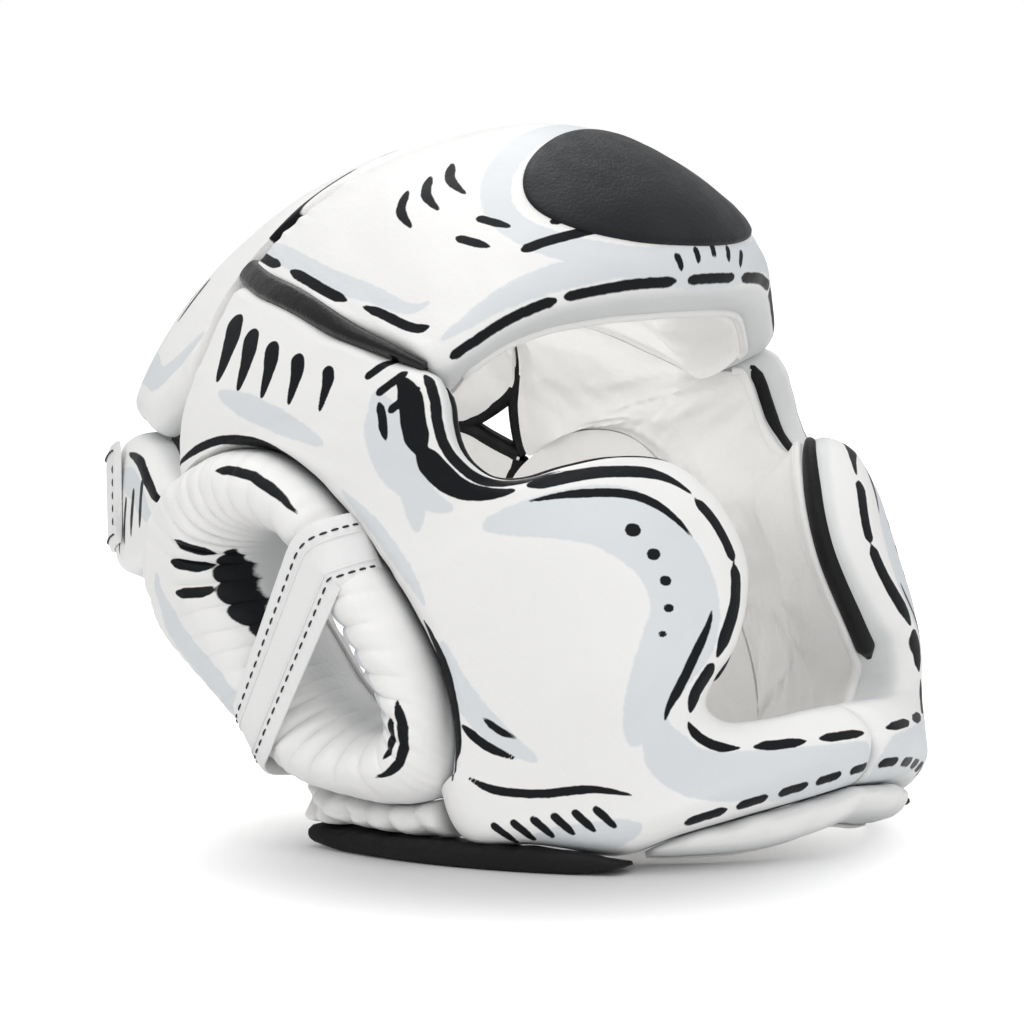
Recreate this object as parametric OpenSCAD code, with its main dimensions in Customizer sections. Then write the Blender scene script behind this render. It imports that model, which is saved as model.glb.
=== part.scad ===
// Full-face boxing headguard: padded leather panels sewn round an open
// head cavity, resting on the two jaw edges with the face at -Y.
// Points on the head form are written [t, v]: t is the angle from the face
// towards the ear in degrees, v the height above the ear line in mm,
// measured along the surface over the dome and straight down below it.

/* [Head form] */
// Half width over the padding at the temples
half_width = 105; // [98:1:114]
// Head centre to the front of the padding
front_reach = 116; // [108:1:126]
// Head centre to the back of the padding
back_reach = 149; // [138:1:160]
// Head centre to the top of the padding
top_reach = 115; // [106:1:126]
// Ear line down to the jaw edge below the ear
jaw_drop = 116; // [104:1:126]
// Lean back of the guard as it rests on its jaw edges
rest_tilt = 20; // [14:1:26]

/* [Padding] */
// Panel padding with its leather
pad_t = 25; // [20:1:30]
// Extra height of the forehead panel
forehead_bulge = 7; // [2:0.5:11]
// Extra height of the cheeks
cheek_bulge = 14; // [6:0.5:18]
// Extra height of the chin
chin_bulge = 5; // [0:0.5:9]
// Ear ring padding with its leather
ear_pad_t = 35; // [29:1:40]
// Rear wing padding with its leather
wing_t = 24; // [18:1:28]
// Under-chin pad thickness
cup_t = 15; // [10:1:19]
// Radius of the roll at a free edge
edge_roll = 17; // [10:1:22]
// Radius of the roll at a seam
seam_roll = 9; // [5:1:14]

/* [Leather] */
// Outer leather
cover_t = 1.5; // [1:0.1:2.2]
// Inner lining leather
lining_t = 1.2; // [0.8:0.1:1.8]
// Gap between neighbouring panels
seam_gap = 0.6; // [0.4:0.1:1.2]
// Clearance between layers
layer_gap = 0.3; // [0.2:0.05:0.4]

/* [Straps] */
// Strap leather with its backing
strap_t = 2.4; // [1.8:0.2:3.2]
// Ear strap width
ear_strap_w = 21; // [15:1:26]
// Rear strap width
rear_strap_w = 34; // [26:1:38]
// Rear strap length from its sewn end to its tip
rear_strap_l = 150; // [120:1:160]
// Length of the hook tape on the rear strap
hook_l = 45; // [30:1:50]
// Hook and loop tape thickness
tape_t = 1; // [0.8:0.1:1.4]

/* [Trim] */
// Height of the rolled jaw binding
binding_h = 7; // [5:0.5:10]
// Thickness of the rolled jaw binding
binding_t = 20; // [14:1:22]
// Width of the forehead badge
badge_w = 94; // [70:1:104]
// Height of the forehead badge
badge_h = 62; // [44:1:68]
// Thickness of the forehead badge
badge_t = 1.2; // [0.8:0.1:2]
// Width of the glossy band along the temple seam
band_w = 9; // [6:0.5:12]

/* [Hidden] */

dome_arc = 112;                    // mm of v per radian over the dome
pole_v = dome_arc * PI / 2;
rear_v = 28;                       // height of the rear strap's middle
foam_wall = 1.5;                   // upright edge of the foam cores
chin_low = jaw_drop + 16;          // ear line down to the chin's lower edge
white = [0.94, 0.94, 0.93];
foam_grey = [0.75, 0.75, 0.72];
lining_grey = [0.86, 0.85, 0.83];
black = [0.09, 0.09, 0.1];

// Edge lines of the panels, chosen along the seams of the guard.
seam_line = [[105, 95], [94, 83], [82, 69], [71, 49], [62, 33], [56, 21]];
face_line = [[55, 13], [55.5, 6], [55.5, -1], [54, -8], [51, -14], [46, -16.5],
  [39, -16], [30, -17], [21, -23], [15, -38], [13, -54], [15, -68], [20.5, -83],
  [25.5, -91], [27.5, -98], [24, -104], [16, -106], [8, -106], [0, -106]];
brow_line = [[50, 20], [42, 23], [33, 26], [24, 27.5], [12, 28], [0, 28]];
rear_top_line = [[105, 96], [102, 107], [97, 116], [90, 124], [81, 131], [70, 137],
  [56, 142], [41, 145], [27, 147], [13, 148], [0, 148]];
// round the ear ring, clockwise from its top, and round its hole
ring_line = [[110, 27], [100, 26], [90, 17], [82, -2], [76, -26], [72, -48],
  [70, -71], [72, -92], [77, -102], [86, -101], [97, -93], [106, -83],
  [113, -66], [120, -46], [127, -27], [130, -9], [126, 12], [119, 22]];
hole_line = [[103, -7], [100, -6], [96, -9], [93, -16], [90, -27], [87, -43],
  [84.5, -58], [82.5, -70], [83, -75], [86, -76], [90, -73], [93, -66],
  [97, -56], [100, -45], [103, -34], [106, -22], [107, -13], [105.5, -9]];
chin_line = [for (q = [[36, 2], [24, 1.5], [12, 1], [0, 0]]) [q[0], -chin_low - q[1]]];
cup_top = concat([[42, -chin_low - 3.4]], chin_line);
cup_line = [for (q = [[42, 5.5], [36, 8], [24, 11.5], [12, 12], [0, 10]]) [q[0], -chin_low - q[1]]];
crown_line = [[107.5, 93], [111, 79], [114.5, 64], [119, 52], [131, 43.5], [140, 48],
  [150, 50.5], [160, 51], [170, 51], [180, 51]];
wing_top = [[121.4, 23], [127, 33], [132, 41.5], [140, 46], [150, 48.5], [162, 49.5], [173, 49.5]];
wing_bottom = [[131.8, -3], [137, 0], [142, 2], [148, 4], [156, 5], [164, 5], [173, 5]];

// Curves and surfaces of the head form.
function smooth(x, a, b) = let (t = min(1, max(0, (x - a) / (b - a)))) t * t * (3 - 2 * t);
function bell(x, w) = exp(-(x / w) * (x / w));
// smooth line through the points p, s from 0 to 1
function along(p, s) = let (n = len(p) - 1, u = min(n - 0.00001, max(0, s * n)),
  i = floor(u), f = u - i, a = p[max(0, i - 1)], b = p[i], c = p[i + 1], d = p[min(n, i + 2)])
  0.5 * (2 * b + (c - a) * f + (2 * a - 5 * b + 4 * c - d) * f * f
    + (3 * b - a - 3 * c + d) * f * f * f);
function loop_at(p, s) = let (n = len(p), u = s * n, i = floor(u), f = u - i,
  a = p[(i + n - 1) % n], b = p[i % n], c = p[(i + 1) % n], d = p[(i + 2) % n])
  0.5 * (2 * b + (c - a) * f + (2 * a - 5 * b + 4 * c - d) * f * f
    + (3 * b - a - 3 * c + d) * f * f * f);
// flat chart of the dome, so that panels can cross the top of the head
function chart(q) = let (r = pole_v - q[1]) [r * sin(q[0]), -r * cos(q[0])];
function unchart(c) = [atan2(c[0], -c[1]), pole_v - norm(c)];

function way(t, v) = let (f = max(0, v) / dome_arc * 180 / PI) [sin(t) * cos(f), -cos(t) * cos(f), sin(f)];
function reach(d) = let (b = d[1] < 0 ? front_reach : back_reach)
  1 / sqrt(pow(d[0] / half_width, 2) + pow(d[1] / b, 2) + pow(d[2] / top_reach, 2));
// a point h above the inside of the padding
function on_head(t, v, h) = let (d = way(t, v)) d * (reach(d) - pad_t + h) + [0, 0, min(0, v)];
// padding height of the panels
function bulge(t, v) = let (a = abs(t))
  forehead_bulge * bell(a, 52) * smooth(v, 22, 62) * (1 - smooth(v, 105, 150))
  + cheek_bulge * bell(a - 38, 22) * smooth(-v, 2, 45) * (1 - smooth(-v, 78, 132))
  + chin_bulge * bell(a, 18) * smooth(-v, 60, 104);
// the plane under the guard that its jaw edges rest on, at height h of the padding
function jaw_v(t, h = pad_t / 2) = -jaw_drop - tan(rest_tilt) * (reach(way(t, 0)) - pad_t + h) * cos(t)
  + 2 * smooth(t, 100, 110) + 2 * smooth(-t, -58, -46);
function jaw_top(t) = jaw_v(t) + binding_h * (1 - 0.55 * smooth(-t, -62, -47));

rest_z = jaw_drop * cos(rest_tilt);
// centre of the guard's length on the ground
tail = on_head(180, rear_v, pad_t + strap_t + tape_t * 2);
nose = on_head(0, -118, pad_t + chin_bulge - 3);
function lean(p) = [p[0], p[1] * cos(rest_tilt) + p[2] * sin(rest_tilt),
  p[2] * cos(rest_tilt) - p[1] * sin(rest_tilt)];
rest_y = -(lean(tail)[1] + lean(nose)[1]) / 2;
module at_rest() translate([0, rest_y, rest_z]) rotate([-rest_tilt, 0, 0]) children();
module mirrored(side) { if (side > 0) children(); else mirror([1, 0, 0]) children(); }

// height of the padding at distance e from an edge, as a share of the crown
function roll(e, r, lip) = let (k = min(1, max(0, e / r))) lip + (1 - lip) * sqrt(1 - (1 - k) * (1 - k));

// Solids from two grids of points.
function quads(n, m, o, flip) = [for (i = [0 : n - 2]) for (j = [0 : m - 2])
  let (a = o + i * m + j, b = a + 1, c = a + m + 1, d = a + m)
  each (flip ? [[a, c, b], [a, d, c]] : [[a, b, c], [a, c, d]])];
function rim_of(n, m) = concat([for (j = [0 : m - 1]) j], [for (i = [1 : n - 1]) i * m + m - 1],
  [for (j = [m - 2 : -1 : 0]) (n - 1) * m + j], [for (i = [n - 2 : -1 : 1]) i * m]);
// top and bottom grids of n rows of m points, joined round the rim
module slab(top, bottom, flip = false) {
  n = len(top); m = len(top[0]); o = n * m; rim = rim_of(n, m); k = len(rim);
  pts = concat([for (r = top) each r], [for (r = bottom) each r]);
  side = [for (i = [0 : k - 1]) let (a = rim[i], b = rim[(i + 1) % k])
    each (flip ? [[a, b, b + o], [a, b + o, a + o]] : [[a, b + o, b], [a, a + o, b + o]])];
  polyhedron(points = pts, faces = concat(quads(n, m, 0, flip), quads(n, m, o, !flip), side));
}
// ring of sections, closed on itself both ways; sections run back from
// point turn_at, and their faces there are split the other way
module hoop(rows, turn_at) {
  n = len(rows); m = len(rows[0]);
  polyhedron(points = [for (r = rows) each r], faces = [for (i = [0 : n - 1]) for (j = [0 : m - 1])
    let (a = i * m + j, b = i * m + (j + 1) % m, c = ((i + 1) % n) * m + (j + 1) % m, d = ((i + 1) % n) * m + j)
    each (j < turn_at ? [[a, b, c], [a, c, d]] : [[a, b, d], [b, c, d]])]);
}

// A padded panel between two edge lines, with steps across and along it
// that lie close together at its edges.
across = [0, 0.012, 0.07, 0.2, 0.5, 0.8, 0.93, 0.988, 1];
across_front = [0, 0.01, 0.06, 0.16, 0.33, 0.5, 0.67, 0.84, 0.94, 0.99, 1];
across_flat = [0, 0.2, 0.5, 0.8, 1];
function inner(ws) = [for (i = [0 : len(ws) - 1]) if (i != 1 && i != len(ws) - 2) ws[i]];
end_step = 0.12;                   // share of a step between a panel's last two sections
function steps(n) = concat([0, end_step / n], [for (i = [1 : n - 1]) i / n], [1 - end_step / n, 1]);
function mix_tv(a, b, w, round_top) = round_top
  ? unchart(chart(a) * (1 - w) + chart(b) * w) : a * (1 - w) + b * w;
// An edge spec is [lip, roll, lip further on, roll further on, from s, to s];
// a panel is [line a, line b, over the dome, edge a, edge b, lip at end 0,
// lip at end 1, height, even about its middle, places across].
// in_mm moves the surface in from all edges, drop lowers it.
function edge_k(e, s, d) = let (f = smooth(s, e[4], e[5]))
  roll(d, e[1] + (e[3] - e[1]) * f, e[0] + (e[2] - e[0]) * f);
function line_at(l, s, dome) = dome ? unchart(along([for (q = l) chart(q)], s)) : along(l, s);
function on_mid(p, s) = let (q = mix_tv(line_at(p[0], s, p[2]), line_at(p[1], s, p[2]), 0.5, p[2]))
  on_head(q[0], q[1], pad_t);
function run_of(p, k) = k == 0 ? 0 : norm(on_mid(p, k / 16) - on_mid(p, (k - 1) / 16)) + run_of(p, k - 1);
function grid(p, ns, ws, in_mm, drop, base, flat = false) = let (total = run_of(p, 16), es = in_mm / total)
  [for (s0 = steps(ns)) let (
      s = es + s0 * (1 - 2 * es), se = p[8] ? min(s, 1 - s) : s,
      a = line_at(p[0], s, p[2]), b = line_at(p[1], s, p[2]),
      wide = norm(on_head(a[0], a[1], pad_t) - on_head(b[0], b[1], pad_t)),
      ew = min(0.3, in_mm / wide))
    [for (w0 = ws) let (
        w = ew + w0 * (1 - 2 * ew), q = mix_tv(a, b, w, p[2]),
        rim = w0 == 0 || w0 == 1 || s0 == 0 || s0 == 1,
        k = edge_k(p[3], se, w * wide) * edge_k(p[4], se, (1 - w) * wide)
          * roll(s * total, seam_roll, p[5]) * roll((1 - s) * total, seam_roll, p[6]))
      on_head(q[0], q[1], flat || rim ? base : max(base + 0.6, (p[7] + bulge(q[0], q[1])) * k - drop))]];

module cover(p, ns, flip = false)
  slab(grid(p, ns, p[9], seam_gap / 2, 0, 0), grid(p, ns, p[9], seam_gap / 2 + cover_t, cover_t, 0), flip);
module foam(p, ns, flip = false, fine = false) {
  inset = seam_gap / 2 + cover_t + layer_gap;
  ws = fine ? p[9] : inner(p[9]);
  slab(grid(p, ns, ws, inset, cover_t + layer_gap, layer_gap + foam_wall),
    grid(p, ns, ws, inset, 0, layer_gap, true), flip);
}
module lining(p, ns, flip = false)
  slab(grid(p, ns, across_flat, seam_gap / 2, 0, -layer_gap, true),
    grid(p, ns, across_flat, seam_gap / 2, 0, -layer_gap - lining_t, true), flip);

// The panels.
front_bottom = concat([for (q = seam_line) [-q[0], q[1]]], [for (q = brow_line) [-q[0], q[1]]],
  [for (i = [len(brow_line) - 2 : -1 : 0]) brow_line[i]],
  [for (i = [len(seam_line) - 1 : -1 : 0]) seam_line[i]]);
front_top = concat([for (q = rear_top_line) [-q[0], q[1]]],
  [for (i = [len(rear_top_line) - 2 : -1 : 0]) rear_top_line[i]]);
seam_edge = [0.5, seam_roll, 0.5, seam_roll, 0, 1];
forehead = [front_bottom, front_top, true, [0.5, seam_roll, 0.3, edge_roll, 0.2, 0.3],
  seam_edge, 0.5, 0.5, pad_t, true, across_front];

// places on the ring's outline that the side panel meets, each one a section of the ring
ear_steps = [for (k = [0 : 16]) 18 + k / 2];
side_outer = concat([[108, 92], [113, 66], [118.5, 45]],
  [for (k = ear_steps) loop_at(ring_line, k / len(ring_line))],
  [for (t = [75, 62, 48]) [t, jaw_top(t)]], chin_line);
side = [concat(seam_line, face_line), side_outer, false,
  [0.5, seam_roll, 0.3, edge_roll + 3, 0.17, 0.24], [0.5, seam_roll, 0.45, seam_roll + 4, 0.7, 0.76],
  0.5, 0.75, pad_t, false, across];

both_ways = function (l) concat([for (q = l) [-q[0], q[1]]], [for (i = [len(l) - 2 : -1 : 0]) l[i]]);
crown = [both_ways(rear_top_line), both_ways(crown_line), true, seam_edge,
  [0.5, seam_roll, 0.4, seam_roll, 0.3, 0.35], 0.5, 0.5, pad_t, true, across];
wing = [wing_top, wing_bottom, false, [0.45, seam_roll, 0.5, seam_roll, 0.3, 0.4],
  [0.45, seam_roll, 0.45, seam_roll, 0, 1], 0.5, 0.45, wing_t, false, across];
cup = [both_ways(cup_top), both_ways(cup_line), false, [0.5, 5, 0.5, 5, 0, 1], [0.4, 7, 0.4, 7, 0, 1],
  0.4, 0.4, cup_t, true, across];
gusset = [[for (k = [8.15, 9, 10, 10.8, 11.3]) loop_at(ring_line, k / len(ring_line))],
  [for (t = [78.5, 87, 96, 103, 108.5]) [t, jaw_top(t)]], false,
  [0.5, 5, 0.5, 5, 0, 1], [0.5, 5, 0.5, 5, 0, 1], 0.5, 0.4, pad_t - 4, false, across];

// The ear ring, a padded hoop round the ear hole.
ring_steps = 2 * len(ring_line);
across_ring = [0, 0.03, 0.15, 0.5, 0.85, 0.97, 1];
ring_lip = 0.4; hole_lip = 0.2;
ring_roll = 16; hole_roll = 17;
function ring_at(a, q) = let (o = loop_at(ring_line, a), i = loop_at(hole_line, a)) o + (i - o) * q;
function ring_wide(a) = let (o = ring_at(a, 0), i = ring_at(a, 1))
  norm(on_head(o[0], o[1], pad_t) - on_head(i[0], i[1], pad_t));
function ring_h(e, wide) = ear_pad_t * roll(e, ring_roll, ring_lip) * roll(wide - e, hole_roll, hole_lip);
function ring_row(a, in_mm, drop, base, back) = let (wide = ring_wide(a), ew = in_mm / wide,
    ws = back ? [for (i = [len(across_ring) - 1 : -1 : 0]) across_ring[i]] : across_ring)
  [for (w0 = ws) let (w = ew + w0 * (1 - 2 * ew), q = ring_at(a, w))
    on_head(q[0], q[1], w0 == 0 || w0 == 1 ? base : max(base + 0.6, ring_h(w * wide, wide) - drop))];
function ring_base(a, in_mm, base) = let (ew = in_mm / ring_wide(a))
  [for (w0 = [1, 0.8, 0.5, 0.2, 0]) let (q = ring_at(a, ew + w0 * (1 - 2 * ew))) on_head(q[0], q[1], base)];
module ring_cover() hoop([for (k = [0 : ring_steps - 1]) let (a = k / ring_steps)
  concat(ring_row(a, seam_gap / 2, 0, 0, false), ring_row(a, seam_gap / 2 + cover_t, cover_t, 0, true))],
  len(across_ring));
module ring_foam() { inset = seam_gap / 2 + cover_t + layer_gap;
  hoop([for (k = [0 : ring_steps - 1]) let (a = k / ring_steps)
    concat(ring_row(a, inset, cover_t + layer_gap, layer_gap + foam_wall, false), ring_base(a, inset, layer_gap))],
    len(across_ring)); }
module ring_lining() hoop([for (k = [0 : ring_steps - 1]) let (a = k / ring_steps, ew = seam_gap / 2 / ring_wide(a))
  [for (w = [[0, 0], [0.5, 0], [1, 0], [1, 1], [0.5, 1], [0, 1]]) let (q = ring_at(a, ew + w[0] * (1 - 2 * ew)))
    on_head(q[0], q[1], -layer_gap - w[1] * lining_t)]], 3);

// Leather straps, bands and tapes laid over the padding: a line of [t, v]
// with a width, from height lo to hi of the padding.
function beside(l, s, d, dome) = let (n = 0.01, c = line_at(l, s, dome),
    a = line_at(l, max(0, s - n), dome), b = line_at(l, min(1, s + n), dome),
    pa = on_head(a[0], a[1], pad_t), pb = on_head(b[0], b[1], pad_t), pc = on_head(c[0], c[1], pad_t),
    along_it = (pb - pa) / norm(pb - pa), out = way(c[0], c[1]), side_way = cross(along_it, out))
  [pc + side_way * d, out];
function strip_row(l, s, half, lo, hi, dome) = [for (j = [-1, 0, 1])
  let (pd = beside(l, s, j * half, dome))
  [pd[0] + pd[1] * (lo - pad_t), pd[0] + pd[1] * (hi - pad_t)]];
module strip(l, half, lo, hi, n, dome) {
  rows = [for (i = [0 : n]) strip_row(l, i / n, half, lo(i / n), hi(i / n), dome)];
  slab([for (r = rows) [for (q = r) q[1]]], [for (r = rows) [for (q = r) q[0]]], true);
}

// The ear strap goes up one side of the ring, over the hole and down the other.
strap_front = 3.8 / len(ring_line);
strap_rear = 11.8 / len(ring_line);
strap_climb = [0, 0.03, 0.12, 0.25, 0.42];
function ring_spread(a) = let (p = ring_at(a, 0), q = ring_at(a + 0.01, 0))
  0.01 * ear_strap_w / 2 / norm(on_head(p[0], p[1], ear_pad_t) - on_head(q[0], q[1], ear_pad_t));
function strap_end(a, j, lift) = [for (q = strap_climb) let (b = a + j * ring_spread(a), p = ring_at(b, q),
    wide = ring_wide(b), e = max(q * wide, seam_gap / 2)) on_head(p[0], p[1], ring_h(e, wide) + lift)];
function strap_side(j, lift) = let (up = strap_end(strap_front, j, lift), down = strap_end(strap_rear, -j, lift))
  concat(up, [for (i = [len(down) - 1 : -1 : 0]) down[i]]);
module ear_strap() slab([for (j = [-1, 0, 1]) strap_side(j, layer_gap + strap_t)],
  [for (j = [-1, 0, 1]) strap_side(j, layer_gap)]);

band_lift = 2.2;                   // over the padding's roll on both sides of the seam
band_seat = function (s) let (q = line_at(seam_line, s, true))
  (pad_t + bulge(q[0], q[1])) * roll(band_w / 2, seam_roll, 0.5) + band_lift;
module seam_band() strip(seam_line, band_w / 2, band_seat, function (s) band_seat(s) + strap_t, 12, true);

// The jaw binding, a roll with a flat underside.
binding_ts = [110, 107, 103, 98, 93, 88, 83, 78, 73, 68, 63, 58, 53, 49, 46];
// round the roll: share of its thickness, share of its height
binding_section = [[0.12, 0], [0.88, 0], [1, 0.25], [1, 0.7], [0.9, 1], [0.5, 1], [0.1, 1], [0, 0.7], [0, 0.25]];
module jaw_binding() {
  rows = [for (t = binding_ts) let (top = jaw_top(t) - layer_gap, low = (pad_t - binding_t) / 2)
    [for (q = binding_section) let (h = low + q[0] * binding_t)
      on_head(t, jaw_v(t, h) * (1 - q[1]) + top * q[1], h)]];
  n = len(rows); m = len(rows[0]);
  polyhedron(points = [for (r = rows) each r], faces = concat(
    [for (i = [0 : n - 2]) for (j = [0 : m - 1]) let (a = i * m + j, b = i * m + (j + 1) % m,
      c = (i + 1) * m + (j + 1) % m, d = (i + 1) * m + j) each [[a, c, b], [a, d, c]]],
    [[for (j = [0 : m - 1]) j]], [[for (j = [m - 1 : -1 : 0]) (n - 1) * m + j]]));
}

// The forehead badge, a bare oval.
badge_v = 76;
module badge() {
  function oval(k, a, h) = let (v = badge_v + badge_h / 2 * k * sin(a),
      d = way(0, v), wide = reach(d) * cos(v / dome_arc * 180 / PI),
      t = badge_w / 2 * k * cos(a) / wide * 180 / PI)
    on_head(t, v, pad_t + bulge(t, v) + h);
  n = 26; ks = [0.5, 0.96, 1];
  top = [for (k = ks) for (i = [0 : n - 1]) oval(k, i * 360 / n, layer_gap + (k < 1 ? badge_t : badge_t * 0.4))];
  low = [for (k = ks) for (i = [0 : n - 1]) oval(k, i * 360 / n, layer_gap)];
  o = len(top); c0 = 2 * o; r = len(ks);
  polyhedron(points = concat(top, low, [oval(0, 0, layer_gap + badge_t), oval(0, 0, layer_gap)]), faces = concat(
    [for (k = [0 : r - 2]) for (i = [0 : n - 1]) let (a = k * n + i, b = k * n + (i + 1) % n, c = b + n, d = a + n)
      each [[a, b, c], [a, c, d], [a + o, c + o, b + o], [a + o, d + o, c + o]]],
    [for (i = [0 : n - 1]) let (b = (i + 1) % n) each [[c0, b, i], [c0 + 1, i + o, b + o]]],
    [for (i = [0 : n - 1]) let (a = (r - 1) * n + i, b = (r - 1) * n + (i + 1) % n)
      each [[a, b, b + o], [a, b + o, a + o]]]));
}

// The rear closure, a strap from the right wing to the left.
strap_root = -146;
rear_radius = norm(on_head(165, rear_v, wing_t));
function turn_of(x) = x / rear_radius * 180 / PI;
strap_turn = turn_of(rear_strap_l);
rear_strap_line = [for (k = [0 : 8]) [strap_root - strap_turn * k / 8, rear_v]];
tape_lift = 2.5 * layer_gap;       // over the wing's curve, which the tape lies on
stack = tape_lift + tape_t * 2 + layer_gap;
rear_seat = function (s) wing_t + layer_gap + stack * smooth(s, 0.08, 0.35);
module rear_strap() strip(rear_strap_line, rear_strap_w / 2, rear_seat,
  function (s) rear_seat(s) + strap_t, 14, false);
// tapes that start a little short of the strap's tip
function tape_line(from) = [for (k = [0 : 4])
  [strap_root - strap_turn + turn_of(from + hook_l * (1 - k / 4)), rear_v]];
module hook_tape() strip(tape_line(3), rear_strap_w / 2 - 2, function (s) wing_t + stack - tape_t,
  function (s) wing_t + stack, 6, false);
module loop_tape() strip(tape_line(1), rear_strap_w / 2 - 1, function (s) wing_t + tape_lift,
  function (s) wing_t + tape_lift + tape_t, 6, false);

// The pieces.
module forehead_cover() color(white) at_rest() cover(forehead, 20);
module forehead_foam() color(foam_grey) at_rest() foam(forehead, 20);
module forehead_lining() color(lining_grey) at_rest() lining(forehead, 20);
module forehead_badge() color(black) at_rest() badge();
module crown_cover() color(white) at_rest() cover(crown, 12);
module crown_foam() color(foam_grey) at_rest() foam(crown, 12);
module crown_lining() color(lining_grey) at_rest() lining(crown, 12);
module side_cover(side_sign) color(white) at_rest() mirrored(side_sign) cover(side, 26);
module side_foam(side_sign) color(foam_grey) at_rest() mirrored(side_sign) foam(side, 26);
module side_lining(side_sign) color(lining_grey) at_rest() mirrored(side_sign) lining(side, 26);
module band(side_sign) color(black) at_rest() mirrored(side_sign) seam_band();
module ear_cover(side_sign) color(white) at_rest() mirrored(side_sign) ring_cover();
module ear_foam(side_sign) color(foam_grey) at_rest() mirrored(side_sign) ring_foam();
module ear_lining(side_sign) color(lining_grey) at_rest() mirrored(side_sign) ring_lining();
module ear_tie(side_sign) color([0.88, 0.88, 0.87]) at_rest() mirrored(side_sign) ear_strap();
module jaw_gusset(side_sign) color([0.9, 0.9, 0.9]) at_rest() mirrored(side_sign)
  slab(grid(gusset, 5, across, seam_gap / 2, 0, foam_wall),
    grid(gusset, 5, across, seam_gap / 2, 0, 0, true), true);
module binding(side_sign) color(black) at_rest() mirrored(side_sign) jaw_binding();
module cup_cover() color(white) at_rest() cover(cup, 10, true);
module cup_foam() color(foam_grey) at_rest() foam(cup, 10, true);
module cup_lining() color(lining_grey) at_rest() lining(cup, 10, true);
module wing_cover(side_sign) color(white) at_rest() mirrored(side_sign) cover(wing, 6, true);
module wing_foam(side_sign) color(foam_grey) at_rest() mirrored(side_sign) foam(wing, 6, true, true);
module wing_lining(side_sign) color(lining_grey) at_rest() mirrored(side_sign) lining(wing, 6, true);
module closure_strap() color([0.88, 0.88, 0.87]) at_rest() rear_strap();
module closure_hook() color(black) at_rest() hook_tape();
module closure_loop() color([0.2, 0.2, 0.21]) at_rest() loop_tape();

forehead_cover();
forehead_foam();
forehead_lining();
forehead_badge();
crown_cover();
crown_foam();
crown_lining();
side_cover(-1);  // right_side_cover
side_foam(-1);  // right_side_foam
side_lining(-1);  // right_side_lining
side_cover(1);  // left_side_cover
side_foam(1);  // left_side_foam
side_lining(1);  // left_side_lining
band(-1);  // right_seam_band
band(1);  // left_seam_band
ear_cover(-1);  // right_ear_ring_cover
ear_foam(-1);  // right_ear_ring_foam
ear_lining(-1);  // right_ear_ring_lining
ear_cover(1);  // left_ear_ring_cover
ear_foam(1);  // left_ear_ring_foam
ear_lining(1);  // left_ear_ring_lining
ear_tie(-1);  // right_ear_strap
ear_tie(1);  // left_ear_strap
jaw_gusset(-1);  // right_jaw_gusset
jaw_gusset(1);  // left_jaw_gusset
binding(-1);  // right_jaw_binding
binding(1);  // left_jaw_binding
cup_cover();  // chin_cup_cover
cup_foam();  // chin_cup_foam
cup_lining();  // chin_cup_lining
wing_cover(-1);  // right_wing_cover
wing_foam(-1);  // right_wing_foam
wing_lining(-1);  // right_wing_lining
wing_cover(1);  // left_wing_cover
wing_foam(1);  // left_wing_foam
wing_lining(1);  // left_wing_lining
closure_strap();  // rear_strap
closure_hook();  // rear_hook_tape
closure_loop();  // rear_loop_tape
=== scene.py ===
"""Boxing headguard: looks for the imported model, in metres, in the model's frame."""
import math

import bpy
import numpy as np
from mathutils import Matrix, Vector


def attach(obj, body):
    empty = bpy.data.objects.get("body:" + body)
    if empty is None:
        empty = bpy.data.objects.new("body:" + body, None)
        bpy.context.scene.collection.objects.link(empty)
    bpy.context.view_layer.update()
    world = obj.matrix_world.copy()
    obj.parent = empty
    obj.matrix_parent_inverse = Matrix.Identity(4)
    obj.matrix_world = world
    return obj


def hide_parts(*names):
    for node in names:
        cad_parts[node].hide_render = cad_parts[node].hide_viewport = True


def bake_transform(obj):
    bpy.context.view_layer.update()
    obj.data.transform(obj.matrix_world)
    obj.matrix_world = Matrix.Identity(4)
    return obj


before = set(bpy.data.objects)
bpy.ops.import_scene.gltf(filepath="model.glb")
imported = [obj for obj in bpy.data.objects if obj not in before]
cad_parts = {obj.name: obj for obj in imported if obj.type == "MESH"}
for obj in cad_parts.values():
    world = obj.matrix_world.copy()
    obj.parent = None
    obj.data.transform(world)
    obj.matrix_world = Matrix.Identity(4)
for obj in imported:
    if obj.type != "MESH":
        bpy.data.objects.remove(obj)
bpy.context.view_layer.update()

# Head form and panel sizes in mm, as the solids have them
HALF_WIDTH = 105.0
FRONT_REACH = 116.0
BACK_REACH = 149.0
TOP_REACH = 115.0
JAW_DROP = 116.0
REST_TILT = math.radians(20.0)
REST_Y = 0.79
PAD = 25.0
FOREHEAD_BULGE = 7.0
CHEEK_BULGE = 10.0
TEMPLE_BULGE = 8.0
CHIN_BULGE = 5.0
EAR_PAD = 35.0
WING_PAD = 24.0
CUP_PAD = 15.0
EDGE_ROLL = 17.0
SEAM_ROLL = 9.0
SEAM_GAP = 0.6
LINING_T = 1.2
LAYER_GAP = 0.3
STRAP_T = 2.4
TAPE_T = 1.0
EAR_STRAP_W = 23.0
EAR_STRAP_T = 1.8
REAR_STRAP_W = 34.0
REAR_STRAP_L = 150.0
HOOK_L = 45.0
BINDING_H = 7.0
BINDING_T = 20.0
BADGE_W = 96.0
BADGE_H = 58.0
BADGE_T = 1.2
BADGE_V = 72.0
DOME = 112.0
POLE_V = DOME * math.pi / 2
REAR_V = 28.0
STRAP_ROOT = -146.0
CHIN_LOW = JAW_DROP + 16.0
MM = 0.001
THIN_REACH = 28.0
SHARP_ANGLE = 0.9
OFF_CANVAS = 500.0  # mm that keeps undersides clear of the line art

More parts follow.
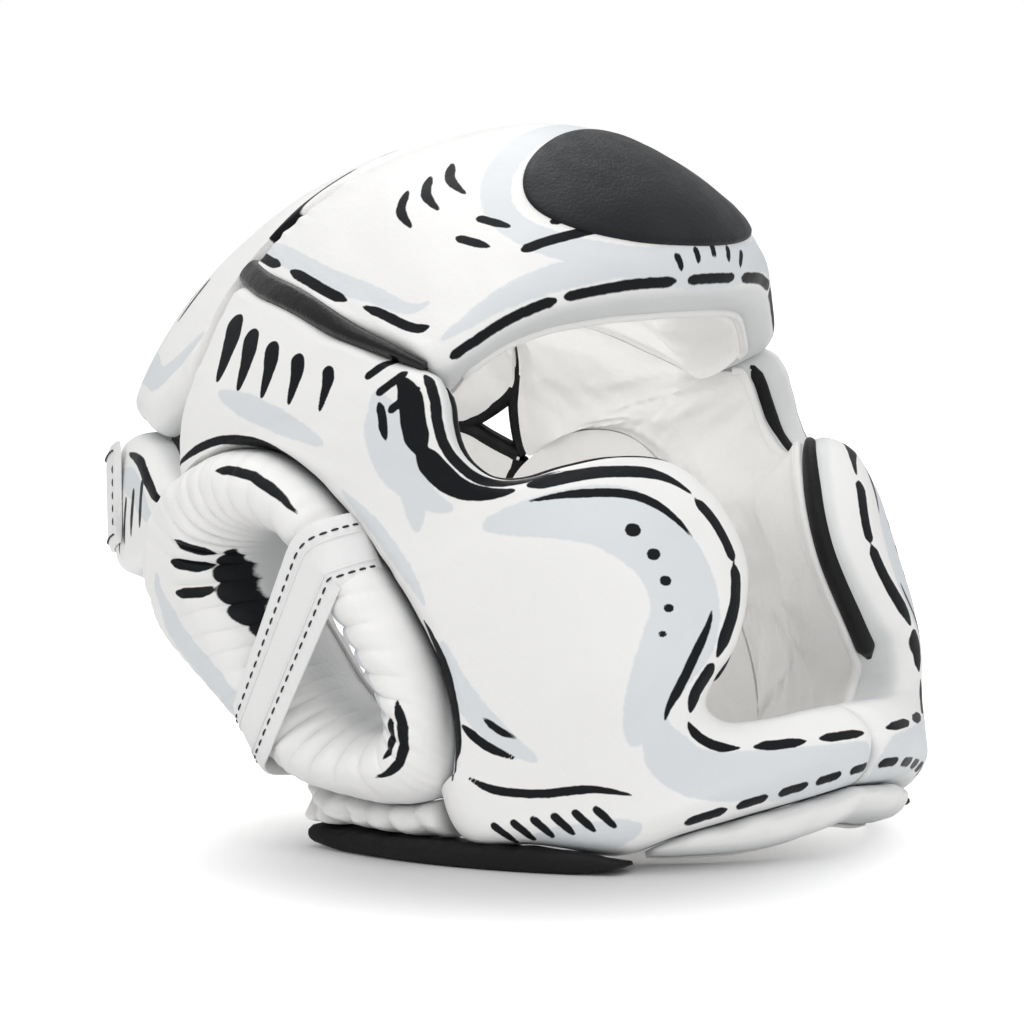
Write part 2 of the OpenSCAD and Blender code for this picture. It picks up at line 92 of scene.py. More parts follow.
# Panel edge lines, [angle from the face in degrees, height over the ear line in mm]
SEAM_LINE = [[105, 95], [94, 83], [82, 69], [71, 50], [62, 35], [56, 24]]
FACE_LINE = [[55, 15], [55.5, 7], [55.5, -1], [54, -8], [51, -14], [46, -16.5], [39, -16],
             [30, -17], [21, -23], [15, -38], [13, -54], [15, -68], [20.5, -83], [25.5, -91],
             [27.5, -98], [24, -104], [16, -106], [8, -106], [0, -106]]
BROW_LINE = [[50, 26], [42, 31.5], [33, 34], [24, 34], [12, 32.5], [0, 32]]
REAR_TOP_LINE = [[105, 96], [102, 107], [97, 116], [90, 124], [81, 131], [70, 137], [56, 142],
                 [41, 145], [27, 147], [13, 148], [0, 148]]
RING_LINE = [[110, 27], [100, 26], [90, 17], [82, -2], [76, -26], [72, -48], [70, -71],
             [72, -92], [77, -102], [86, -101], [97, -93], [106, -83], [113, -66], [120, -46],
             [127, -27], [130, -9], [126, 12], [119, 22]]
HOLE_LINE = [[103, -7], [100, -6], [96, -9], [93, -16], [90, -27], [87, -43], [84.5, -58],
             [82.5, -70], [83, -75], [86, -76], [90, -73], [93, -66], [97, -56], [100, -45],
             [103, -34], [106, -22], [107, -13], [105.5, -9]]
CHIN_LINE = [[36, -CHIN_LOW - 2], [24, -CHIN_LOW - 1.5], [12, -CHIN_LOW - 1], [0, -CHIN_LOW]]
CUP_TOP = [[42, -CHIN_LOW - 3.4]] + CHIN_LINE
CUP_LINE = [[t, -CHIN_LOW - d] for t, d in [[42, 5.5], [36, 8], [24, 11.5], [12, 12], [0, 10]]]
CROWN_LINE = [[107.5, 93], [111, 79], [114.5, 64], [119, 52], [131, 43.5], [140, 48],
              [150, 50.5], [160, 51], [170, 51], [180, 51]]
WING_TOP = [[121.4, 23], [127, 33], [132, 41.5], [140, 46], [150, 48.5], [162, 49.5],
            [173, 49.5]]
WING_BOTTOM = [[131.8, -3], [137, 0], [142, 2], [148, 4], [156, 5], [164, 5], [173, 5]]


def smooth(x, a, b):
    u = np.clip((np.asarray(x, float) - a) / (b - a), 0, 1)
    return u * u * (3 - 2 * u)


def bell(x, width):
    return np.exp(-(np.asarray(x, float) / width) ** 2)


def spline(a, b, c, d, f):
    """Catmull-Rom between b and c."""
    f = f[..., None]
    return 0.5 * (2 * b + (c - a) * f + (2 * a - 5 * b + 4 * c - d) * f * f
                  + (3 * b - a - 3 * c + d) * f ** 3)


def along(points, s):
    p = np.asarray(points, float)
    n = len(p) - 1
    u = np.clip(np.asarray(s, float) * n, 0, n - 1e-5)
    i = np.floor(u).astype(int)
    return spline(p[np.maximum(i - 1, 0)], p[i], p[i + 1], p[np.minimum(i + 2, n)], u - i)


def round_loop(points, s):
    p = np.asarray(points, float)
    n = len(p)
    u = np.asarray(s, float) * n
    i = np.floor(u).astype(int)
    return spline(p[(i - 1) % n], p[i % n], p[(i + 1) % n], p[(i + 2) % n], u - i)


def chart(q):
    """Flat chart of the dome, so that panels can cross the top of the head."""
    q = np.asarray(q, float)
    r = POLE_V - q[..., 1]
    t = np.radians(q[..., 0])
    return np.stack([r * np.sin(t), -r * np.cos(t)], -1)


def unchart(c):
    t = np.degrees(np.arctan2(c[..., 0], -c[..., 1]))
    return np.stack([t, POLE_V - np.hypot(c[..., 0], c[..., 1])], -1)


def way(q):
    """Direction from the head's axis through [t, v]."""
    t, f = np.radians(q[..., 0]), np.maximum(0, q[..., 1]) / DOME
    return np.stack([np.sin(t) * np.cos(f), -np.cos(t) * np.cos(f), np.sin(f)], -1)


def reach(d):
    back = np.where(d[..., 1] < 0, FRONT_REACH, BACK_REACH)
    return 1 / np.sqrt((d[..., 0] / HALF_WIDTH) ** 2 + (d[..., 1] / back) ** 2
                       + (d[..., 2] / TOP_REACH) ** 2)


def on_head(q, h):
    """Point h mm above the inside of the padding at [t, v], in the head's own axes."""
    q = np.asarray(q, float)
    d = way(q)
    p = d * (reach(d) - PAD + h)[..., None]
    p[..., 2] += np.minimum(0, q[..., 1])
    return p


def at_rest(p):
    """From the head's axes to the model's frame, where the guard leans back on its jaw."""
    c, s = math.cos(REST_TILT), math.sin(REST_TILT)
    y = p[..., 1] * c + p[..., 2] * s + REST_Y
    z = p[..., 2] * c - p[..., 1] * s + JAW_DROP * c
    return np.stack([p[..., 0], y, z], -1)


def roll(e, r, lip):
    k = np.clip(e / r, 0, 1)
    return lip + (1 - lip) * np.sqrt(np.maximum(0, 1 - (1 - k) ** 2))


def bulge(q):
    a, v = np.abs(q[..., 0]), q[..., 1]
    return (FOREHEAD_BULGE * bell(a, 52) * smooth(v, 22, 62) * (1 - smooth(v, 105, 150))
            + CHEEK_BULGE * bell(a - 38, 22) * smooth(-v, 2, 45) * (1 - smooth(-v, 78, 132))
            + CHIN_BULGE * bell(a, 18) * smooth(-v, 60, 104)
            + TEMPLE_BULGE * bell(a - 50, 15) * bell(v - 10, 26))


def jaw_v(t, h=PAD / 2):
    """Height of the plane that the guard rests on, at angle t and padding height h."""
    t = np.asarray(t, float)
    q = np.stack([t, np.zeros_like(t)], -1)
    far = (reach(way(q)) - PAD + h) * np.cos(np.radians(t))
    rise = 2 * smooth(t, 100, 110) + 2 * smooth(-t, -58, -46)
    return -JAW_DROP - math.tan(REST_TILT) * far + rise


def jaw_top(t):
    return jaw_v(t) + BINDING_H * (1 - 0.55 * smooth(-np.asarray(t, float), -62, -47))


def noise(x, y, seed=0.0):
    """Smooth value noise from -1 to 1, the same on each run."""
    ix, iy = np.floor(x), np.floor(y)
    fx, fy = smooth(x - ix, 0, 1), smooth(y - iy, 0, 1)

    def corner(a, b):
        n = np.sin(a * 127.1 + b * 311.7 + seed * 74.7) * 43758.5453
        return n - np.floor(n)

    low = corner(ix, iy) * (1 - fx) + corner(ix + 1, iy) * fx
    high = corner(ix, iy + 1) * (1 - fx) + corner(ix + 1, iy + 1) * fx
    return 2 * (low * (1 - fy) + high * fy) - 1


# Meshes

def link(name, data):
    thing = bpy.data.objects.new(name, data)
    bpy.context.scene.collection.objects.link(thing)
    return thing


def mesh_object(name, points, faces, material, body="shell"):
    """A smooth-shaded closed piece from points in mm in the model's frame."""
    points = np.asarray(points).reshape(-1, 3)
    mesh = bpy.data.meshes.new(name)
    mesh.from_pydata((points * MM).tolist(), [], outward(points, faces))
    mesh.update()
    piece = link(name, mesh)
    mesh.materials.append(material)
    mesh.shade_smooth()
    mesh.set_sharp_from_angle(angle=SHARP_ANGLE)
    if body:
        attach(piece, body)
    return piece


def write_layer(mesh, name, values):
    layer = mesh.attributes.new(name, "FLOAT", "POINT")
    layer.data.foreach_set("value", np.asarray(values, np.float32))


def grid_faces(n, m, start=0, wrap_n=False, wrap_m=False):
    rows = n if wrap_n else n - 1
    cols = m if wrap_m else m - 1
    i, j = np.meshgrid(np.arange(rows), np.arange(cols), indexing="ij")
    i2, j2 = (i + 1) % n, (j + 1) % m
    quads = np.stack([i * m + j, i * m + j2, i2 * m + j2, i2 * m + j], -1).reshape(-1, 4)
    return (quads + start).tolist()


def outward(points, faces):
    """The faces, turned over where the closed mesh would be inside out."""
    quads = np.array([f for f in faces if len(f) == 4])
    a, b, c, d = (points[quads[:, k]] for k in range(4))
    inside = (a * (np.cross(b, c) + np.cross(c, d))).sum() < 0
    return [f[::-1] for f in faces] if inside else faces


def slab_faces(n, m, k):
    """Faces of a closed slab: a top grid of n by m points and a bottom one of n by k."""
    o = n * m
    faces = grid_faces(n, m) + [f[::-1] for f in grid_faces(n, k, o)]
    for i in range(n - 1):
        a, b, c, d = i * m, (i + 1) * m, o + i * k, o + (i + 1) * k
        faces += [[a, b, d, c], [b + m - 1, a + m - 1, c + k - 1, d + k - 1]]
    faces.append(list(range(m - 1, -1, -1)) + list(range(o, o + k)))
    faces.append(list(range((n - 1) * m, o)) + list(range(o + n * k - 1, o + (n - 1) * k - 1, -1)))
    return faces


def loop_faces(shell):
    """Faces of a ring of closed sections."""
    return grid_faces(*shell.shape[:2], wrap_n=True, wrap_m=True)


def tube_faces(shell):
    """Faces of a row of closed sections, capped at both ends."""
    n, m = shell.shape[:2]
    ends = [list(range(m - 1, -1, -1)), list(range((n - 1) * m, n * m))]
    return grid_faces(n, m, wrap_m=True) + ends


def placed(p, side):
    """From the head's axes to the model's frame on one side: 1 is the wearer's left, as the
    edge lines are written, and -1 the right."""
    return at_rest(p * np.array([side, 1, 1]))


def surface(q, h, side=1):
    """Places in the model's frame at padding height h over [t, v]."""
    return placed(on_head(q, h), side)


def outward_ways(q, side):
    """Directions away from the head at [t, v], in the model's frame."""
    return turned(way(q) * np.array([side, 1, 1]))


def turned(d):
    """A direction from the head's axes to the model's frame."""
    return at_rest(d) - at_rest(np.zeros_like(d))


def side_ways(line, out):
    """Unit ways sideways over the surface and outward, along a line."""
    tangent = np.gradient(line, axis=0)
    tangent /= np.linalg.norm(tangent, axis=1)[:, None]
    across = np.cross(tangent, out)
    across /= np.linalg.norm(across, axis=1)[:, None]
    return across, np.cross(across, tangent)


def run_of(line):
    """Length in mm from a line's start to each of its points."""
    return np.concatenate([[0], np.cumsum(np.linalg.norm(np.diff(line, axis=0), axis=1))])


def smoothed(line, times):
    for _ in range(times):
        line[1:-1] = (line[:-2] + 2 * line[1:-1] + line[2:]) / 4
    return line


# Materials

def node(tree, kind, inputs, **settings):
    """A shader node whose inputs, by name or number, take a value or a socket to link."""
    made = tree.nodes.new(kind)
    for key, value in settings.items():
        setattr(made, key, value)
    for key, value in inputs.items():
        if isinstance(value, bpy.types.NodeSocket):
            tree.links.new(value, made.inputs[key])
        else:
            made.inputs[key].default_value = value
    return made


def empty_tree(owner):
    owner.use_nodes = True
    owner.node_tree.nodes.clear()
    return owner.node_tree


def math_node(tree, operation, *values):
    return node(tree, "ShaderNodeMath", dict(enumerate(values)), operation=operation).outputs[0]


def shaded(name, build):
    """A material whose surface is the shader socket that build makes in its tree."""
    material = bpy.data.materials.new(name)
    tree = empty_tree(material)
    node(tree, "ShaderNodeOutputMaterial", {"Surface": build(tree)})
    return material


def texture(tree, kind, scale, detail=3.0, rough=0.5):
    """A noise or cell texture in the model's own coordinates; scale counts cells to the metre."""
    place = node(tree, "ShaderNodeTexCoord", {}).outputs["Object"]
    return node(tree, kind, {"Vector": place, "Scale": scale, "Detail": detail, "Roughness": rough})


def ramp(tree, value, low, high, to_low=0.0, to_high=1.0):
    return node(tree, "ShaderNodeMapRange",
                {"Value": value, "From Min": low, "From Max": high, "To Min": to_low, "To Max": to_high},
                interpolation_type="SMOOTHSTEP").outputs["Result"]


def mix_colour(tree, share, a, b):
    """a where share is 0 and b where it is 1; each a colour or a socket."""
    a, b = ((*c, 1) if isinstance(c, tuple) else c for c in (a, b))
    return node(tree, "ShaderNodeMix", {0: share, 6: a, 7: b}, data_type="RGBA").outputs[2]


def bump(tree, layers):
    """Stacks bump layers: (height socket, strength, depth in metres, inverted)."""
    last = {}
    for height, strength, depth, invert in layers:
        made = node(tree, "ShaderNodeBump",
                    {"Height": height, "Strength": strength, "Distance": depth, **last}, invert=invert)
        last = {"Normal": made.outputs["Normal"]}
    return last["Normal"]


def attribute(tree, name):
    return node(tree, "ShaderNodeAttribute", {}, attribute_name=name).outputs["Fac"]


def leather(name, colour, rough=0.42, grain=0.25, crease=0.3, coat=0.0, printed=False,
            worn=0.06, cell=620, gloss=0.45):
    """Grained leather; printed leather carries the line art kept in the mesh and a painted shade along
    its panel edges.
    """
    def build(tree):
        cloudy = texture(tree, "ShaderNodeTexNoise", 18, 4).outputs["Fac"]
        cells = texture(tree, "ShaderNodeTexVoronoi", cell).outputs["Distance"]
        pores = texture(tree, "ShaderNodeTexNoise", 2600, 2).outputs["Fac"]
        folds = texture(tree, "ShaderNodeTexNoise", 90, 4, 0.6).outputs["Fac"]
        dark = tuple(c * (1 - worn) for c in colour)
        base, shine = mix_colour(tree, ramp(tree, cloudy, 0.35, 0.7), colour, dark), gloss
        if printed:
            # Painted shade: within 2.6 mm of each panel edge, where the leather rolls down into its
            # seam, the colour darkens towards a cool grey.
            seam = tuple(c * f for c, f in zip(colour, (0.80, 0.815, 0.83)))
            base = mix_colour(tree, ramp(tree, attribute(tree, "edge"), 0.2, 2.6, 1, 0), base, seam)
            wobble = texture(tree, "ShaderNodeTexNoise", 420, 2).outputs["Fac"]
            for layer, tone, soft, wave in (("shade", SHADE, 0.45, 1.2), ("ink", INK, 0.2, 0.4)):
                edge = math_node(tree, "MULTIPLY_ADD", wobble, wave, attribute(tree, layer))
                share = ramp(tree, edge, wave / 2 - soft, wave / 2 + soft, 1, 0)
                base = mix_colour(tree, share, base, tone)
            shine = ramp(tree, share, 0, 1, gloss, INK_GLOSS)
        normal = bump(tree, [(folds, crease, 0.0012, False), (cells, grain, 0.00022, True),
                             (pores, grain, 0.0001, False)])
        return node(tree, "ShaderNodeBsdfPrincipled",
                    {"Base Color": base, "Specular IOR Level": shine, "Normal": normal,
                     "Roughness": ramp(tree, folds, 0.3, 0.7, rough - 0.05, rough + 0.08),
                     "Coat Weight": coat, "Coat Roughness": 0.18}).outputs["BSDF"]
    return shaded(name, build)


def tape(name, colour, scale):
    """Hook or loop tape: a dense fuzz."""
    def build(tree):
        fuzz = texture(tree, "ShaderNodeTexVoronoi", scale).outputs["Distance"]
        base = mix_colour(tree, fuzz, colour, tuple(c * 2.4 for c in colour))
        return node(tree, "ShaderNodeBsdfPrincipled",
                    {"Base Color": base, "Roughness": 0.95,
                     "Normal": bump(tree, [(fuzz, 0.9, 0.0008, True)])}).outputs["BSDF"]
    return shaded(name, build)


INK_GLOSS = 0.1
INK = (0.009, 0.010, 0.012)
SHADE = (0.69, 0.715, 0.735)
WHITE = leather("white_leather", (0.86, 0.855, 0.845), 0.40, 0.22, 0.28, printed=True, worn=0.025)
PLAIN_WHITE = leather("plain_white_leather", (0.85, 0.845, 0.835), 0.42, 0.25, 0.35, worn=0.04)
LINING = leather("lining_leather", (0.86, 0.85, 0.835), 0.5, 0.25, 0.6, worn=0.05, cell=420)
STRAP = leather("strap_leather", (0.83, 0.83, 0.825), 0.40, 0.20, 0.2, worn=0.03)
BLACK = leather("black_leather", (0.008, 0.008, 0.009), 0.5, 0.35, 0.3, worn=-0.4, gloss=0.16)
BADGE = leather("badge_leather", (0.010, 0.011, 0.013), 0.44, 0.6, 0.2, worn=-0.6, cell=780,
                gloss=0.2)
PATENT = leather("patent_leather", (0.005, 0.005, 0.006), 0.26, 0.4, 0.8, coat=0.3, worn=-0.3,
                 gloss=0.2)
THREAD_DARK = leather("black_thread", (0.02, 0.02, 0.022), 0.7, 0.3, 0.1, worn=-0.3)
HOOK = tape("hook_tape_fuzz", (0.02, 0.02, 0.022), 1500)
LOOP = tape("loop_tape_fuzz", (0.045, 0.045, 0.05), 900)


# Line art: strokes kept as a signed distance in mm, which the leather turns into ink

class Canvas:
    FAR = 12.0

    def __init__(self):
        self.layers = {"ink": [], "shade": []}

    def stroke(self, q, width, tone="ink", thin=(0.08, 0.22)):
        """A brush line through the points q, thinning out over a share of each end."""
        q = np.asarray(q, float)
        s = np.linspace(0, 1, max(8, int(run_of(on_head(q, PAD))[-1] / 0.7)))
        ends = np.minimum(s / max(thin[0], 1e-3), (1 - s) / max(thin[1], 1e-3))
        half = width / 2 * (0.15 + 0.85 * np.clip(ends, 0, 1) ** 0.7)
        self.layers[tone].append((on_head(along(q, s), PAD), half))

    def write(self, mesh, ref):
        """Writes the layers for vertices whose places on the plain padding are ref."""
        for tone, strokes in self.layers.items():
            field = np.full(len(ref), self.FAR)
            for p, half in strokes:
                low, high = p.min(0) - self.FAR, p.max(0) + self.FAR
                near = np.nonzero(np.all((ref > low) & (ref < high), axis=1))[0]
                for part in np.array_split(near, max(1, len(near) * len(p) // 4_000_000)):
                    if len(part):
                        d = np.linalg.norm(ref[part][:, None] - p[None], axis=2) - half
                        field[part] = np.minimum(field[part], d.min(1))
            write_layer(mesh, tone, field)


# Padded panels

def edge_k(edge, s, e):
    """Share of the full height at e mm from an edge whose lip and roll change along it, from
    one pair to the next between two shares of the run."""
    lip, round_mm, lip_2, round_2, start, end = edge
    f = smooth(s, start, end)
    return roll(e, round_mm + (round_2 - round_mm) * f, lip + (lip_2 - lip) * f)


def spread(n, crowd):
    """n places from 0 to 1, closer together at both ends."""
    u = np.linspace(0, 1, n)
    return u - crowd * np.sin(2 * math.pi * u) / (2 * math.pi)


def inset(share, wide):
    """Shares of a width that leave half the seam's gap free at both ends."""
    gap = SEAM_GAP / 2 / wide
    return gap + share * (1 - 2 * gap)


def turn_in(core, h, wide, turn):
    """Turns both long edges of a grid under: its shares across and its heights, in place."""
    for k, (mm, share) in enumerate(turn):
        for col, sign in ((k, 1), (-1 - k, -1)):
            core[:, col] += sign * mm / wide[:, col]
            h[:, col] *= share


class Panel:
    """A padded panel lofted over the head form between two edge lines."""
    TURN = ((1.8, 0.0), (0.5, 0.12), (0.0, 0.4), (0.0, 0.75))  # mm in, share of the lip's height

    def __init__(self, line_a, line_b, edge_a, edge_b, lips, height=PAD, dome=False, even=False,
                 thin=((0, 0), (1, 0))):
        self.a, self.b = np.asarray(line_a, float), np.asarray(line_b, float)
        self.edge_a, self.edge_b, self.lips = edge_a, edge_b, lips
        self.height, self.dome, self.even = height, dome, even
        self.thin_s, self.thin_mm = np.array(thin, float).T
        s = np.linspace(0, 1, 65)
        self.total = run_of(on_head(self.place(s, np.full_like(s, 0.5)), PAD))[-1]

    def ends(self, s):
        if self.dome:
            return (unchart(along(chart(line), s)) for line in (self.a, self.b))
        return (along(line, s) for line in (self.a, self.b))

    def place(self, s, w):
        a, b = self.ends(s)
        w = np.asarray(w)[..., None]
        if self.dome:
            return unchart(chart(a) * (1 - w) + chart(b) * w)
        return a * (1 - w) + b * w

    def width(self, s):
        a, b = self.ends(s)
        return np.linalg.norm(on_head(a, PAD) - on_head(b, PAD), axis=-1)

    def at(self, s, mm, from_b=False):
        """[t, v] at mm in from edge a (or b) at share s of the panel's run."""
        s = np.atleast_1d(np.asarray(s, float))
        w = np.asarray(mm) / self.width(s)
        return self.place(s, 1 - w if from_b else w)

    def from_edge(self, s, w):
        """Distance in mm to the nearest of the four edges."""
        return np.minimum(np.minimum(w, 1 - w) * self.width(s), np.minimum(s, 1 - s) * self.total)

    def folded(self, s):
        """The share s, counted from either end where the panel is even."""
        return np.minimum(s, 1 - s) if self.even else s

    def inner(self, s, w):
        """Height of the inside face, which rises where the padding thins out to its edge."""
        thinner = np.interp(self.folded(s), self.thin_s, self.thin_mm)
        return thinner * (1 - smooth(w * self.width(s), 0, THIN_REACH))

    def crown(self, s, w):
        """Height of the outer face as a share of the padding over the inside face."""
        wide, share = self.width(s), self.folded(s)
        return (edge_k(self.edge_a, share, w * wide) * edge_k(self.edge_b, share, (1 - w) * wide)
                * roll(s * self.total, SEAM_ROLL, self.lips[0])
                * roll((1 - s) * self.total, SEAM_ROLL, self.lips[1]))

    def grids(self, ns, nw, relief):
        """Top grid of the cover with its turned-in edges: places, heights, edge distances."""
        s = inset(spread(ns, 0.55), self.total)
        turned = len(self.TURN)
        w = np.concatenate([np.zeros(turned), spread(nw, 0.8), np.ones(turned)])
        sg, wg = np.meshgrid(s, w, indexing="ij")
        wide = self.width(sg)
        core = inset(wg, wide)
        rise, distance = self.inner(sg, core), self.from_edge(sg, core)
        full = self.height + bulge(self.place(sg, core)) - rise
        h = full * self.crown(sg, core) * (1 + relief(sg * self.total, core * wide, distance))
        turn_in(core, h, wide, self.TURN)
        h[0], h[-1] = 0.0, 0.0
        return self.place(sg, core), h + rise, distance, rise


def leather_relief(seed, pucker):
    """Soft undulation of stuffed leather, with puckers drawn in along the seams."""
    def relief(x, y, distance):
        folds = noise((x + y) / 9, (x - y) / 19.8, seed)
        return (0.012 * noise(x / 26, y / 26, seed + 3) + 0.0048 * noise(x / 11, y / 11, seed + 5)
                + pucker * folds * np.exp(-distance / 6.5))
    return relief


def cover(name, panel, replaced, side, ns, nw, art, relief, material):
    """Closed leather cover over one panel's foam, with a coarse grid underneath."""
    q, h, distance, rise = panel.grids(ns, nw, relief)
    n, m = h.shape
    under = np.linspace(0, m - 1, 7).astype(int)
    top = surface(q, h, side).reshape(-1, 3)
    low = surface(q[:, under], rise[:, under] - 0.1, side).reshape(-1, 3)
    piece = mesh_object(name, np.concatenate([top, low]), slab_faces(n, m, len(under)), material)
    ref = on_head(q, np.full_like(h, PAD)).reshape(-1, 3)
    drawn(art).write(piece.data, np.concatenate([ref, low + OFF_CANVAS]))
    # Distances to the panel edges, which the printed leather darkens into painted shade near the seams
    write_layer(piece.data, "edge", np.concatenate([distance.ravel(), distance[:, under].ravel()]))
    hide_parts(*replaced)
    return piece


def lining(name, panel, replaced, side, seed, folds):
    """Lining leather with soft folds that stand into the head space."""
    s = 0.002 + spread(110, 0.3) * 0.996
    w = 0.004 + spread(60, 0.6) * 0.992
    sg, wg = np.meshgrid(s, w, indexing="ij")
    x, y = sg * panel.total, wg * panel.width(sg)
    distance = panel.from_edge(sg, wg)
    soft = smooth(distance, 0, 14)
    bend = 9 * noise(x / 40, y / 40, seed + 4)
    puff = folds * soft * (1.0 + 0.9 * noise((x + bend) / 30, (y - bend) / 24, seed))
    crease = np.abs(noise((x + 0.7 * y + bend) / 24, (y - 0.5 * x) / 46, seed + 2))
    puff += folds * smooth(distance, 0, 8) * (np.exp(-crease / 0.16) * 0.55)
    puff += 0.25 * folds * smooth(distance, 0, 4) * noise((x - y) / 7, (y + x) / 19, seed + 6)
    q = panel.place(sg, wg)
    rise = panel.inner(sg, wg) - LAYER_GAP
    points = [surface(q, rise, side), surface(q, rise - LINING_T - np.maximum(puff, 0), side)]
    piece = mesh_object(name, points, slab_faces(*sg.shape, sg.shape[1]), LINING)
    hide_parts(*replaced)
    return piece


# The panels

def both_ways(line):
    return [[-t, v] for t, v in line] + line[-2::-1]


ROLLED_SEAM = (0.5, SEAM_ROLL, 0.5, SEAM_ROLL, 0, 1)
FOREHEAD = Panel(both_ways(SEAM_LINE + BROW_LINE), both_ways(REAR_TOP_LINE),
                 (0.5, SEAM_ROLL, 0.42, EDGE_ROLL - 5, 0.2, 0.3), ROLLED_SEAM, (0.5, 0.5),
                 dome=True, even=True,
                 thin=((0, 0), (0.215, 0), (0.27, 13), (0.34, 10), (0.42, 7), (0.5, 6)))
EAR_STEPS = 1 + np.arange(1, 17) / 2 / len(RING_LINE)
SIDE_OUTER = ([[108, 92], [113, 66], [118.5, 45]]
              + [[119.8, 23.2], [113.5, 25.6]] + round_loop(RING_LINE, EAR_STEPS).tolist()
              + [[t, float(jaw_top(t))] for t in (75, 62, 48)] + CHIN_LINE)
SIDE = Panel(SEAM_LINE + FACE_LINE, SIDE_OUTER, (0.55, SEAM_ROLL, 0.42, EDGE_ROLL, 0.36, 0.54),
             (0.5, SEAM_ROLL, 0.45, SEAM_ROLL + 4, 0.7, 0.76), (0.5, 0.75),
             thin=((0, 0), (0.18, 0), (0.225, 13), (0.42, 14), (0.54, 12), (0.8, 11), (0.88, 4), (1, 2)))
CROWN = Panel(both_ways(REAR_TOP_LINE), both_ways(CROWN_LINE), ROLLED_SEAM,
              (0.5, SEAM_ROLL, 0.4, SEAM_ROLL, 0.3, 0.35), (0.5, 0.5), dome=True, even=True)
WING = Panel(WING_TOP, WING_BOTTOM, (0.45, SEAM_ROLL, 0.5, SEAM_ROLL, 0.3, 0.4),
             (0.45, SEAM_ROLL, 0.45, SEAM_ROLL, 0, 1), (0.5, 0.45), height=WING_PAD)
CUP = Panel(both_ways(CUP_TOP), both_ways(CUP_LINE), (0.5, 5, 0.5, 5, 0, 1),
            (0.4, 7, 0.4, 7, 0, 1), (0.4, 0.4), height=CUP_PAD)
GUSSET = Panel(round_loop(RING_LINE, np.array([8.15, 9, 10, 10.8, 11.3]) / len(RING_LINE)).tolist(),
               [[t, float(jaw_top(t))] for t in (78.5, 87, 96, 103, 108.5)],
               (0.5, 5, 0.5, 5, 0, 1), (0.5, 5, 0.5, 5, 0, 1), (0.5, 0.4), height=PAD - 4)


def side_art(c):
    """Generic contour stripes, chevrons, dots and bars for one side panel."""
    def edge_run(s0, s1, mm, width, tone="ink", thin=(0.25, 0.25), n=24, from_b=False):
        c.stroke(SIDE.at(np.linspace(s0, s1, n), mm, from_b), width, tone, thin)

    edge_run(0.50, 0.80, 31, 22, "shade", (0.3, 0.3))
    edge_run(0.80, 0.99, 22, 15, "shade", (0.2, 0.05))
    edge_run(0.22, 0.44, 21, 14, "shade", (0.3, 0.4))
    for s0, s1, mm, wide, start, end in (
            (0.205, 0.345, 11, 8.5, 0.3, 0.25), (0.33, 0.475, 11, 8.0, 0.2, 0.6),
            (0.485, 0.605, 10, 4.4, 0.1, 0.3), (0.61, 0.665, 11, 4.2, 0.1, 0.1),
            (0.67, 0.75, 11, 4.6, 0.1, 0.2), (0.757, 0.815, 11, 4.0, 0.1, 0.3),
            (0.235, 0.31, 21, 3.2, 0.2, 0.3), (0.51, 0.63, 21, 3.0, 0.3, 0.3),
            (0.70, 0.80, 21, 3.0, 0.3, 0.3), (0.825, 0.89, 12, 3.2, 0.25, 0.25),
            (0.90, 0.94, 12, 3.2, 0.25, 0.25), (0.95, 0.985, 12, 3.0, 0.25, 0.25)):
        edge_run(s0, s1, mm, wide, thin=(start, end))
    edge_run(0.212, 0.50, 3.8, 3.2, thin=(0.05, 0.3), n=40)
    for k in range(5):
        dot = SIDE.at(0.60 + 0.024 * k, 32 + 1.5 * k)
        c.stroke(np.concatenate([dot, dot + [0.4, 0.2]]), 4.2 - 0.55 * k, thin=(0.01, 0.01))
    for k in range(5):
        t, v = 101 - 6.4 * k, 71 - 8.4 * k
        c.stroke([[t, v], [t + 0.5, v - 8 + k], [t + 3, v - 20 + 2 * k]], 8.6 - 1.0 * k, thin=(0.1, 0.6))
    for k in range(3):
        t, v = 68 - 1.5 * k, 30 - 7 * k
        c.stroke([[t, v], [t - 6, v + 3]], 2.8, thin=(0.1, 0.2))
    c.stroke([[103, 46], [95, 37], [86, 25], [79, 14]], 8, "shade", (0.3, 0.4))
    edge_run(0.37, 0.52, 8, 5, "shade", (0.3, 0.3), 20, from_b=True)
    edge_run(0.53, 0.68, 4.5, 3.6, "ink", (0.3, 0.1), 20, from_b=True)
    for k in range(6):
        t, v = 67 - 3.4 * k, -116 - 0.8 * k
        c.stroke([[t, v], [t - 2.5, v - 7.5]], 2.6, thin=(0.1, 0.4))
    c.stroke([[69, -100], [65, -106], [58, -111], [50, -114], [44, -119]], 2.8, thin=(0.25, 0.3))
    c.stroke([[62, -124], [52, -128], [44, -129]], 9, "shade", (0.3, 0.3))
    c.stroke([[67, -58], [66, -74], [62, -90], [57, -101]], 8, "shade", (0.35, 0.35))
    c.stroke([[67.5, -84], [64.5, -92], [60, -99]], 3.0, thin=(0.3, 0.4))
    c.stroke([[63.5, -84], [61.5, -89], [59, -93]], 2.4, thin=(0.3, 0.4))
    ring = round_loop(RING_LINE, np.linspace(17.3, 25.2, 60) / len(RING_LINE))
    centre = ring.mean(0)
    c.stroke(centre + (ring - centre) * 1.06, 3.0, thin=(0.1, 0.2))
    c.stroke([[61, 8], [64, -6], [66, -22]], 10, "shade", (0.4, 0.4))
    for s0, s1 in ((0.882, 0.905), (0.910, 0.928), (0.934, 0.952), (0.957, 0.972), (0.977, 0.992)):
        edge_run(s0, s1, 4.2, 2.4, thin=(0.15, 0.15), from_b=True)


